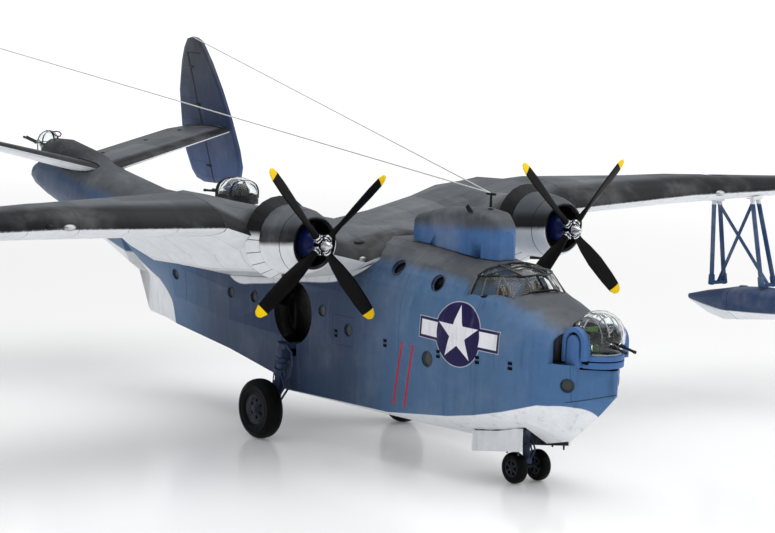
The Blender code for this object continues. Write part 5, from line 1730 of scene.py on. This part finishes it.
@dataclass
class BowTurret:
    """The ball turret in the bow, its two blue bands and ears, and its twin guns."""

    centre: tuple[float, float, float] = (0.0, 0.87, 3.58)
    radius: float = 0.58
    ear_middle: tuple[float, float] = (0.98, 3.46)
    ear_radius: float = 0.36
    ear_inner: float = 0.25
    post_radius: float = 0.185
    ear_x: tuple[float, float] = (0.46, 0.655)
    feet: tuple[float, float] = (3.12, 3.03)
    muzzle: tuple[float, float] = (-0.13, 3.37)
    gun_x: float = 0.13
    band_radius: float = 0.555

    def bands(self, shop: "Shop") -> None:
        """The two bands round the turret's foot, the ears that hold it, and the black ring and plates that stand for
        the shade between the bands and behind the ears.
        """
        x, y, z = self.centre
        foot, out = (0.0, y, 0.0), self.band_radius
        upper, lower, gap = Shape(), Shape(), Shape()
        upper.turned(
            ((3.230, 0.46), (3.230, out - 0.014), (3.216, out), (3.126, out), (3.112, out - 0.014), (3.112, 0.46)),
            foot, (0, 0, 1), 48,
        )
        lower.turned(
            ((3.088, 0.46), (3.088, out - 0.014), (3.074, out), (2.966, out), (2.950, out - 0.014), (2.950, 0.40)),
            foot, (0, 0, 1), 48,
        )
        # Painted shade: a black ring showing between the bands, and black plates behind the ears, stand for the shade
        # there.
        gap.turned(((3.15, 0.42), (3.15, 0.525), (2.97, 0.525), (2.97, 0.0), (3.03, 0.0), (3.03, 0.42)), foot, (0, 0, 1), 40)
        ear_y, ear_z = self.ear_middle
        inner_x, outer_x = self.ear_x
        front_foot, rear_foot = self.feet
        for sign in SIDES.values():
            def arch(radius: float, start: float, end: float, shift: float = 0.0) -> list[Vector]:
                """The arc of an ear's edge."""
                return bow((sign * inner_x, ear_y + shift, ear_z), (0, -1, 0), (0, 0, 1), radius, start, end, 20)

            def spot(along: float, height: float) -> Vector:
                """A corner of an ear's outline."""
                return Vector((sign * inner_x, ear_y + along, height))

            outline = [spot(-self.ear_radius, front_foot)] + arch(self.ear_radius, 0.0, 180.0)
            outline += [spot(self.ear_radius, rear_foot), spot(self.ear_inner, rear_foot)]
            outline += arch(self.ear_inner, 180.0, 0.0) + [spot(-self.ear_inner, front_foot)]
            upper.plate(outline, (sign * (outer_x - inner_x), 0.0, 0.0))
            shape = [spot(-self.post_radius, 2.96)] + arch(self.post_radius, 0.0, 180.0, 0.01)
            shape += [spot(self.post_radius + 0.04, 2.96)]
            lower.plate(shape, (sign * (outer_x - inner_x - 0.005), 0.0, 0.0))
            back = [spot(1 - self.ear_radius - 0.98, 3.04)] + arch(self.ear_radius - 0.02, 0.0, 180.0) + [spot(0.33, 3.04)]
            gap.plate(back, (sign * 0.09, 0.0, 0.0))
        for shape in (upper, lower):
            shape.soften(0.010, 40.0)
        shop.piece("bow_turret_upper_band", upper, SIDE, replaces=("bow_turret_ring",), angle=38.0)
        shop.piece("bow_turret_lower_band", lower, SIDE, angle=38.0)
        shop.piece("bow_turret_gap_shade", gap, BLACK)

    def guns(self, shop: "Shop") -> None:
        """The guns with their cradle, rails, sight and ammunition chutes."""
        x, y, z = self.centre
        guns, cradle, rails = Shape(), Shape(), Shape()
        cradle.rod((-0.455, y, z), (0.455, y, z), 0.036, sides=14)
        for sign in SIDES.values():
            gun_x = sign * self.gun_x
            guns.block((gun_x, y - 0.08, z - 0.04), (0.085, 0.46, 0.14), None, 0.012)
            guns.block((gun_x, y + 0.17, z - 0.02), (0.06, 0.10, 0.09), None, 0.010)
            start, tip = Vector((gun_x, y - 0.28, z - 0.075)), Vector((gun_x, self.muzzle[0], self.muzzle[1]))
            along = tip - start
            guns.rod(start, start + along * 0.55, 0.042, sides=14)
            guns.rod(start + along * 0.5, tip, 0.030, sides=12)
            guns.rod(start + along * 0.93, tip, 0.037, sides=12)
            for step in range(4):
                ring = start + along * (0.08 + step * 0.12)
                guns.hoop(ring, along, 0.042, 0.008, 14, 6)
            cradle.block((sign * 0.20, y - 0.02, z + 0.02), (0.03, 0.40, 0.20), None, 0.010)
            cradle.block((sign * 0.27, y + 0.02, z - 0.10), (0.09, 0.26, 0.16), None, 0.014)
            for step in range(3):
                cradle.block((sign * (0.235 + step * 0.05), y - 0.10, z + 0.12 - step * 0.03), (0.028, 0.12, 0.04), None, 0.006)
            rails.strap(bow((sign * 0.17, y, z), (0, -1, 0), (0, 0, 1), 0.50, 8.0, 128.0, 20), (0.035, 0.0, 0.0), 0.018)
            rails.strap(bow((sign * 0.31, y, z), (0, -1, 0), (0, 0, 1), 0.43, -8.0, 150.0, 20), (0.030, 0.0, 0.0), 0.016)
        rails.strap(bow((0.0, y, z), (1, 0, 0), (0, 0, 1), 0.51, 20.0, 160.0, 20), (0.0, 0.035, 0.0), 0.014)
        rails.hoop((0.0, y - 0.33, z + 0.20), (0.0, 1.0, 0.25), 0.075, 0.009, 24, 6)
        rails.hoop((0.0, y - 0.33, z + 0.20), (0.0, 1.0, 0.25), 0.038, 0.006, 20, 6)
        rails.rod((0.0, y - 0.33, z + 0.125), (0.0, y - 0.26, z + 0.02), 0.010, sides=8)
        rails.rod((-0.07, y - 0.33, z + 0.20), (0.07, y - 0.33, z + 0.20), 0.005, sides=6)
        cradle.block((0.0, y - 0.06, z + 0.04), (0.14, 0.22, 0.10), None, 0.014)
        cradle.block((0.0, y - 0.20, z - 0.15), (0.34, 0.10, 0.06), None, 0.012)
        shop.piece("bow_gun_barrels", guns, GUNS, replaces=("bow_guns",))
        shop.piece("bow_gun_cradle", cradle, DARK)
        shop.piece("bow_turret_rails", rails, STEEL, angle=50.0)

    def seat(self, shop: "Shop") -> None:
        """The gunner's seat and armour."""
        x, y, z = self.centre
        seat = Shape()
        seat.block((0.0, y + 0.12, z - 0.23), (0.34, 0.26, 0.05), None, 0.018)
        seat.block((0.0, y + 0.245, z - 0.02), (0.36, 0.045, 0.42), None, 0.016)
        seat.rod((0.0, y + 0.10, 3.02), (0.0, y + 0.10, z - 0.24), 0.06, sides=14)
        for sign in SIDES.values():
            seat.block((sign * 0.36, y + 0.05, z - 0.10), (0.035, 0.22, 0.30), None, 0.012)
        shop.piece("bow_gunner_seat", seat, GREEN, replaces=("bow_seat",))

    def build(self, shop: "Shop") -> None:
        """Builds and dresses the bow turret."""
        shop.skin("bow_dome", CLEAR, 50.0)
        self.bands(shop)
        self.guns(shop)
        self.seat(shop)
        x, y, z = self.centre
        rim = Shape()
        rim.turned(((3.226, 0.40), (3.262, 0.41), (3.262, 0.488), (3.226, 0.488)), (x, y, 0.0), (0, 0, 1), 48)
        shop.piece("bow_dome_rim", rim, STEEL)


@dataclass
class DorsalTurret:
    """The turret on the hull's back, which turns on its ring."""

    centre: tuple[float, float, float] = (0.0, 14.45, 5.2416)
    body: str = "dorsal_turret"
    profile: tuple[tuple[float, float], ...] = (
        (0.02, 0.524), (0.20, 0.524), (0.29, 0.497), (0.36, 0.463), (0.42, 0.405), (0.46, 0.343), (0.50, 0.252), (0.52, 0.172), (0.542, 0.0),
    )
    gun_x: float = 0.13
    muzzle_y: float = 15.73

    def arch(self, across: float, width: float, thickness: float) -> Shape:
        """A frame over the dome, from side to side, some way aft of its middle."""
        shape = Shape()
        self.add_arch(shape, across, width, thickness)
        return shape

    def add_arch(self, shape: Shape, across: float, width: float, thickness: float) -> None:
        """Adds a frame over the dome from side to side.

        Args:
            shape: The shape that it is added to.
            across: How far aft of the dome's middle it stands.
            width: Its width fore and aft.
            thickness: How far it stands out.
        """
        x, y, z = self.centre
        half = [(math.sqrt(max(out * out - across * across, 0.0)), up) for up, out in self.profile if out > abs(across)]
        peak = max(up for _, up in half) + 0.012
        points = [(away, y + across, z + up) for away, up in half] + [(0.0, y + across, z + peak)]
        points += [(-away, y + across, z + up) for away, up in reversed(half)]
        shape.strap(points, (0.0, width, 0.0), -thickness)

    def build(self, shop: "Shop") -> None:
        """Builds and dresses the dorsal turret."""
        x, y, z = self.centre
        shop.skin("dorsal_dome", CLEAR, 50.0)
        shop.skin("dorsal_ring", DARK, 40.0)
        frames = Shape()
        self.add_arch(frames, 0.20, 0.13, 0.016)
        self.add_arch(frames, -0.30, 0.05, 0.014)
        frames.turned(((0.0, 0.515), (0.0, 0.535), (0.10, 0.535), (0.115, 0.528), (0.115, 0.515)), self.centre, (0, 0, 1), 44)
        shop.piece("dorsal_dome_frames", frames, DARK, self.body, angle=50.0)
        guns, cradle = Shape(), Shape()
        for sign in SIDES.values():
            gun_x = sign * self.gun_x
            guns.block((gun_x, y + 0.02, z + 0.14), (0.085, 0.50, 0.13), None, 0.012)
            start, tip = Vector((gun_x, y + 0.26, z + 0.135)), Vector((gun_x, self.muzzle_y, z + 0.09))
            guns.rod(start, start + (tip - start) * 0.45, 0.040, sides=12)
            guns.rod(start, tip, 0.030, sides=12)
            guns.rod(start + (tip - start) * 0.94, tip, 0.036, sides=12)
            cradle.block((sign * 0.22, y - 0.02, z + 0.13), (0.04, 0.30, 0.24), None, 0.012)
        cradle.block((0.0, y, z + 0.04), (0.50, 0.28, 0.07), None, 0.015)
        cradle.block((0.0, y - 0.16, z + 0.30), (0.20, 0.16, 0.16), None, 0.02)
        cradle.rod((0.0, y - 0.16, z + 0.05), (0.0, y - 0.16, z + 0.24), 0.03, sides=10)
        cradle.block((0.0, y - 0.33, z + 0.14), (0.26, 0.05, 0.24), None, 0.016)
        shop.piece("dorsal_gun_barrels", guns, GUNS, self.body, ("dorsal_guns",))
        shop.piece("dorsal_gun_cradle", cradle, DARK, self.body)


@dataclass
class TailTurret:
    """The small glazed turret in the tail, with its frame, guns and loop."""

    centre: tuple[float, float, float] = (0.0, 23.61, 5.90)
    radius: float = 0.33
    ring_top: float = 5.46
    gun_x: float = 0.05
    muzzle: tuple[float, float] = (24.85, 5.96)

    def build(self, shop: "Shop") -> None:
        """Builds and dresses the tail turret."""
        x, y, z = self.centre
        shop.skin("tail_dome", CLEAR, 50.0)
        shop.skin("tail_turret_ring", GREEN, 40.0)
        frames, guns, cradle, loop = Shape(), Shape(), Shape(), Shape()
        foot = self.ring_top + 0.02
        over = bow(self.centre, (0, 1, 0), (0, 0, 1), self.radius + 0.004, 0.0, 180.0, 18)
        frames.strap([(0.0, y + self.radius, foot)] + over + [(0.0, y - self.radius, foot)], (0.05, 0.0, 0.0), 0.014)
        side = bow(self.centre, (1, 0, 0), (0, 0, 1), self.radius + 0.004, 0.0, 180.0, 18)
        frames.strap([(self.radius, y, foot)] + side + [(-self.radius, y, foot)], (0.0, 0.035, 0.0), -0.012)
        frames.hoop((x, y, foot), (0, 0, 1), self.radius, 0.018, 32)
        frames.hoop((x, y, z), (0, 0, 1), self.radius + 0.002, 0.010, 32)
        for sign in SIDES.values():
            gun_x = sign * self.gun_x
            start, tip = Vector((gun_x, y, self.ring_top + 0.30)), Vector((gun_x, self.muzzle[0], self.muzzle[1]))
            guns.block((gun_x, y + 0.02, self.ring_top + 0.29), (0.07, 0.34, 0.11), None, 0.010)
            guns.rod(start, start + (tip - start) * 0.5, 0.040, sides=12)
            guns.rod(start, tip, 0.030, sides=12)
            guns.rod(start + (tip - start) * 0.95, tip, 0.036, sides=12)
            cradle.block((sign * 0.16, y, self.ring_top + 0.19), (0.03, 0.20, 0.34), None, 0.010)
        cradle.block((0.0, y, self.ring_top + 0.06), (0.32, 0.24, 0.08), None, 0.015)
        cradle.block((0.0, y - 0.10, self.ring_top + 0.22), (0.20, 0.05, 0.30), None, 0.015)
        loop.path(
            [(0.0, 23.42, 6.215), (0.0, 23.20, 6.245), (0.0, 23.02, 6.240), (0.0, 22.93, 6.190), (0.0, 22.98, 6.130),
             (0.0, 23.12, 6.110), (0.0, 23.30, 6.150)], 0.018, 8, True,
        )
        loop.rod((0.0, 23.12, 6.02), (0.0, 23.12, 6.11), 0.020, sides=8)
        shop.piece("tail_dome_frames", frames, DARK, angle=50.0)
        shop.piece("tail_gun_barrels", guns, GUNS, replaces=("tail_guns",))
        shop.piece("tail_gun_cradle", cradle, GREEN)
        shop.piece("tail_loop", loop, DARK, angle=60.0)


@dataclass
class MainGear:
    """The two main wheels on their legs."""

    wheel_x: float = 2.17
    wheel_y: float = 10.225
    radius: float = 0.715
    width: float = 0.44
    leg_x: float = 1.74
    rake: float = 0.28
    leg_top: float = 2.28
    holes: int = 6
    tread: tuple[tuple[float, float], ...] = (
        (-0.40, 0.50), (-0.47, 0.55), (-0.50, 0.66), (-0.485, 0.76), (-0.495, 0.77), (-0.49, 0.80), (-0.475, 0.81), (-0.45, 0.87),
        (-0.40, 0.925), (-0.32, 0.965), (-0.20, 0.988), (-0.10, 0.996), (-0.09, 0.988), (-0.06, 0.988),
        (-0.05, 0.999), (0.05, 0.999), (0.06, 0.988), (0.09, 0.988), (0.10, 0.996), (0.20, 0.988), (0.32, 0.965),
        (0.40, 0.925), (0.45, 0.87), (0.475, 0.81), (0.49, 0.80), (0.495, 0.77), (0.485, 0.76), (0.50, 0.66),
        (0.47, 0.55), (0.40, 0.50),
    )

    def wheel(self, shop: "Shop", side: str, sign: int) -> None:
        """One tyre with its two-faced wheel, and black discs on the faces that stand for the shade in the wheel's
        holes.
        """
        centre = Vector((sign * self.wheel_x, self.wheel_y, self.radius))
        body = f"main_wheel_{side}"
        tyre, hub, dark = Shape(), Shape(), Shape()
        tyre.turned([(across * self.width, share * self.radius) for across, share in self.tread], centre, (1, 0, 0), 56)
        half = [(0.205, 0.0), (0.205, 0.055), (0.190, 0.070), (0.165, 0.075), (0.155, 0.130), (0.120, 0.150), (0.105, 0.245),
                (0.130, 0.272), (0.158, 0.288), (0.158, 0.312), (0.142, 0.320), (0.142, 0.332), (0.170, 0.345), (0.170, 0.362)]
        hub.turned(half + [(-along, out) for along, out in reversed(half)], centre, (1, 0, 0), 44)
        for face in (-1, 1):
            # Painted shade: a black disc sits on each face where the wheel has a hole.
            for index in range(self.holes):
                out = Matrix.Rotation(math.tau * index / self.holes, 3, "X") @ Vector((0.0, 0.0, 0.198))
                middle = centre + out + Vector((face * 0.110, 0.0, 0.0))
                dark.rod(middle - Vector((0.012, 0, 0)), middle + Vector((0.012, 0, 0)), 0.040, sides=16)
                bolt = centre + out * 0.52 + Vector((face * 0.165, 0.0, 0.0))
                hub.rod(bolt - Vector((0.012, 0, 0)), bolt + Vector((0.012, 0, 0)), 0.014, sides=6)
        shop.piece(f"main_tyre_rubber_{side}", tyre, RUBBER, body, (f"main_tyre_{side}",), 40.0)
        shop.piece(f"main_wheel_disc_{side}", hub, WHEELS, body, (f"main_hub_{side}",), 36.0)
        shop.piece(f"main_wheel_holes_{side}", dark, BLACK, body)

    def leg(self, shop: "Shop", side: str, sign: int) -> None:
        """One leg's collars, links and braces over the plain strut."""
        shop.skin(f"main_leg_{side}", GEAR, 40.0)
        x = sign * self.leg_x
        top, axle = Vector((x, self.wheel_y - self.rake, self.leg_top)), Vector((x, self.wheel_y, self.radius))
        along = axle - top
        parts = Shape()
        for share, radius, tall in ((0.02, 0.15, 0.12), (0.24, 0.145, 0.10), (0.44, 0.155, 0.16), (0.62, 0.135, 0.08), (0.98, 0.14, 0.16)):
            middle, half = top + along * share, along.normalized() * tall / 2
            parts.rod(middle - half, middle + half, radius, sides=20)
        parts.block(top + along * 0.12, (0.26, 0.22, 0.30), None, 0.03)
        parts.block(top + along * 0.34 + Vector((0, -0.06, 0)), (0.24, 0.20, 0.14), None, 0.02)
        parts.block(top + along * 0.54 + Vector((0, -0.03, 0)), (0.20, 0.18, 0.20), None, 0.02)
        for lean in (-0.07, 0.07):
            knee = top + along * 0.66 + Vector((lean, -0.36, 0.02))
            parts.rod(top + along * 0.46 + Vector((lean, -0.12, 0)), knee, 0.026, sides=10)
            parts.rod(knee, top + along * 0.90 + Vector((lean, -0.08, 0)), 0.026, sides=10)
        parts.path(
            [top + Vector((sign * 0.05, -0.20, -0.02)), top + Vector((sign * 0.06, -0.40, -0.16)),
             top + Vector((sign * 0.06, -0.44, -0.42)), top + Vector((sign * 0.05, -0.34, -0.72)),
             top + Vector((sign * 0.03, -0.14, -0.86))], 0.024, 8,
        )
        parts.path(
            [top + Vector((sign * 0.11, 0.10, 0.0)), top + Vector((sign * 0.13, 0.16, -0.5)),
             top + Vector((sign * 0.12, 0.24, -1.0)), axle + Vector((sign * 0.06, -0.08, 0.14))], 0.014, 8,
        )
        parts.rod(top + Vector((0, 0, -0.06)), Vector((sign * 1.10, top.y - 0.02, 2.20)), 0.075, sides=14)
        parts.rod(top + along * 0.40, Vector((sign * 1.46, top.y + 0.05, 2.02)), 0.040, sides=12)
        parts.rod(axle - Vector((sign * 0.10, 0, 0)), axle + Vector((sign * 0.20, 0, 0)), 0.10, sides=20)
        shop.piece(f"main_leg_links_{side}", parts, GEAR)

    def build(self, shop: "Shop") -> None:
        """Builds and dresses both sides."""
        for side, sign in SIDES.items():
            self.wheel(shop, side, sign)
            self.leg(shop, side, sign)


@dataclass
class NoseGear:
    """The twin nose wheels on their leg between the two bay doors."""

    wheel_x: float = 0.343
    wheel_y: float = 3.079
    radius: float = 0.355
    width: float = 0.25
    spokes: int = 6
    bay_top: float = 1.945

    def wheels(self, shop: "Shop") -> None:
        """The tyres, the spoked wheels and their axle, with a black disc between each wheel's faces that stands for the
        shade between the spokes.
        """
        hubs, dark = Shape(), Shape()
        tread = [(across, share) for across, share in MainGear().tread]
        for side, sign in SIDES.items():
            centre = Vector((sign * self.wheel_x, self.wheel_y, self.radius))
            tyre = Shape()
            tyre.turned([(across * self.width, share * self.radius) for across, share in tread], centre, (1, 0, 0), 48)
            shop.piece(f"nose_tyre_rubber_{side}", tyre, RUBBER, "nose_wheels", (f"nose_tyre_{side}",), 40.0)
            rim = [(0.110, 0.175), (0.118, 0.200), (0.118, 0.218), (-0.118, 0.218), (-0.118, 0.200), (-0.110, 0.175)]
            hubs.turned(rim, centre, (1, 0, 0), 36)
            hubs.turned(((-0.125, 0.0), (-0.125, 0.045), (-0.10, 0.070), (0.10, 0.070), (0.125, 0.045), (0.125, 0.0)), centre, (1, 0, 0), 24)
            # Painted shade: a black disc fills the room between the spokes.
            dark.turned(((-0.06, 0.0), (-0.06, 0.190), (0.06, 0.190), (0.06, 0.0)), centre, (1, 0, 0), 32)
            for face in (-1, 1):
                for index in range(self.spokes):
                    turn = Matrix.Rotation(math.tau * index / self.spokes, 4, "X")
                    middle = centre + turn @ Vector((face * 0.085, 0.0, 0.125))
                    hubs.block(middle, (0.050, 0.046, 0.150), turn, 0.008)
        hubs.rod((-0.43, self.wheel_y, self.radius), (0.43, self.wheel_y, self.radius), 0.048, sides=16)
        shop.piece("nose_wheel_spokes", hubs, WHEELS, "nose_wheels", ("nose_wheel_hubs",))
        shop.piece("nose_wheel_spoke_shade", dark, BLACK, "nose_wheels")

    def leg(self, shop: "Shop") -> None:
        """The leg's collars and links, and the struts that fold it."""
        shop.skin("nose_leg", GEAR, 40.0)
        parts = Shape()
        foot, top = Vector((0.0, self.wheel_y, 0.44)), Vector((0.0, self.wheel_y + 0.10, self.bay_top))
        along = top - foot
        for share, radius, tall in ((0.03, 0.125, 0.12), (0.26, 0.125, 0.06), (0.42, 0.115, 0.22), (0.70, 0.125, 0.08)):
            middle, half = foot + along * share, along.normalized() * tall / 2
            parts.rod(middle - half, middle + half, radius, sides=20)
        for lean in (-0.05, 0.05):
            knee = foot + along * 0.22 + Vector((lean, -0.24, 0.0))
            parts.rod(foot + along * 0.06 + Vector((lean, -0.09, 0)), knee, 0.020, sides=8)
            parts.rod(knee, foot + along * 0.42 + Vector((lean, -0.09, 0)), 0.020, sides=8)
            parts.rod(foot + along * 0.46 + Vector((lean * 2, 0.05, 0)), (lean * 5, 4.02, 1.80), 0.030, sides=10)
            parts.rod(foot + along * 0.40 + Vector((lean, 0.08, 0)), (lean * 2, 3.86, 1.85), 0.022, sides=10)
        parts.rod((-0.655, 3.20, 1.60), (0.655, 3.20, 1.60), 0.035, sides=12)
        shop.piece("nose_leg_links", parts, GEAR)

    def doors(self, shop: "Shop") -> None:
        """The doors, with their frames inside."""
        frames = Shape()
        for side, sign in SIDES.items():
            shop.skin(f"nose_door_{side}", WHITE)
            x = sign * 0.670
            for y in (2.60, 2.98, 3.36, 3.74, 4.04):
                frames.block((x, y, 0.92), (0.016, 0.05, 0.36), None, 0.003)
            frames.block((x, 3.29, 1.02), (0.016, 1.56, 0.04), Matrix.Rotation(-0.13, 4, "X"), 0.003)
        shop.piece("nose_door_frames", frames, DARK)

    def build(self, shop: "Shop") -> None:
        """Builds and dresses the nose gear."""
        self.wheels(shop)
        self.leg(shop)
        self.doors(shop)


@dataclass
class Aerials:
    """The radome, the mast and blade aerial, and the wires from the mast to the fins."""

    mast_top: tuple[float, float, float] = (0.0, 4.62, 6.325)
    fin_top: tuple[float, float, float] = (3.64, 21.90, 8.905)
    wire_radius: float = 0.015

    def build(self, shop: "Shop") -> None:
        """Builds and dresses the aerials."""
        radome = SplitPaint(
            "radome paint", Tone.TOP_GREY, below=Tone.NOSE_BLUE, border=((3.9, 5.56), (5.9, 5.47), (6.9, 5.40)), soft=0.16,
            ragged=0.12, streaks=0.20,
        )
        shop.skin("radome", radome, 25.0)
        shop.skin("aerial_mast", DARK, 40.0)
        shop.skin("blade_aerial", DARK, 40.0)
        seam, foot, wires = Shape(), Shape(), Shape()
        for sign in SIDES.values():
            points = []
            for y in (4.06, 4.2, 4.5, 4.9, 5.4, 5.9, 6.4, 6.76):
                half = 0.47 if y > 4.4 else 0.24 + (y - 4.0) * 0.55
                place, _ = shop.seat("hull", (sign * half, y, 7.0), (0.0, 0.0, -1.0))
                points.append(place)
            seam.path(points, 0.012, 6)
            fin = Vector((sign * self.fin_top[0], self.fin_top[1], self.fin_top[2]))
            wires.rod(self.mast_top, fin, self.wire_radius, sides=8)
            wires.ball(fin, (0.035, 0.035, 0.035), 10)
        foot.turned(((0.0, 0.0), (0.0, 0.07), (0.02, 0.05), (0.02, 0.0)), (0.0, 4.60, 5.965), (0.0, 0.0, 1.0), 16)
        shop.piece("radome_seam", seam, DARK)
        shop.piece("aerial_feet", foot, DARK)
        shop.piece("aerial_wires", wires, THREAD)


def main() -> None:
    """Builds the studio and every sub-assembly in order."""
    logging.basicConfig(level=logging.INFO, format="%(message)s")
    Studio().make()
    for effect in EFFECTS:
        effect.make()
    shop = Shop()
    for part in (
        Hull(), Wings(), Engines(), Propellers(), Tail(), Floats(), Cockpit(), BowTurret(), DorsalTurret(),
        TailTurret(), MainGear(), NoseGear(), Aerials(),
    ):
        log.info("building the %s", type(part).__name__)
        part.build(shop)


if __name__ == "__main__":
    main()
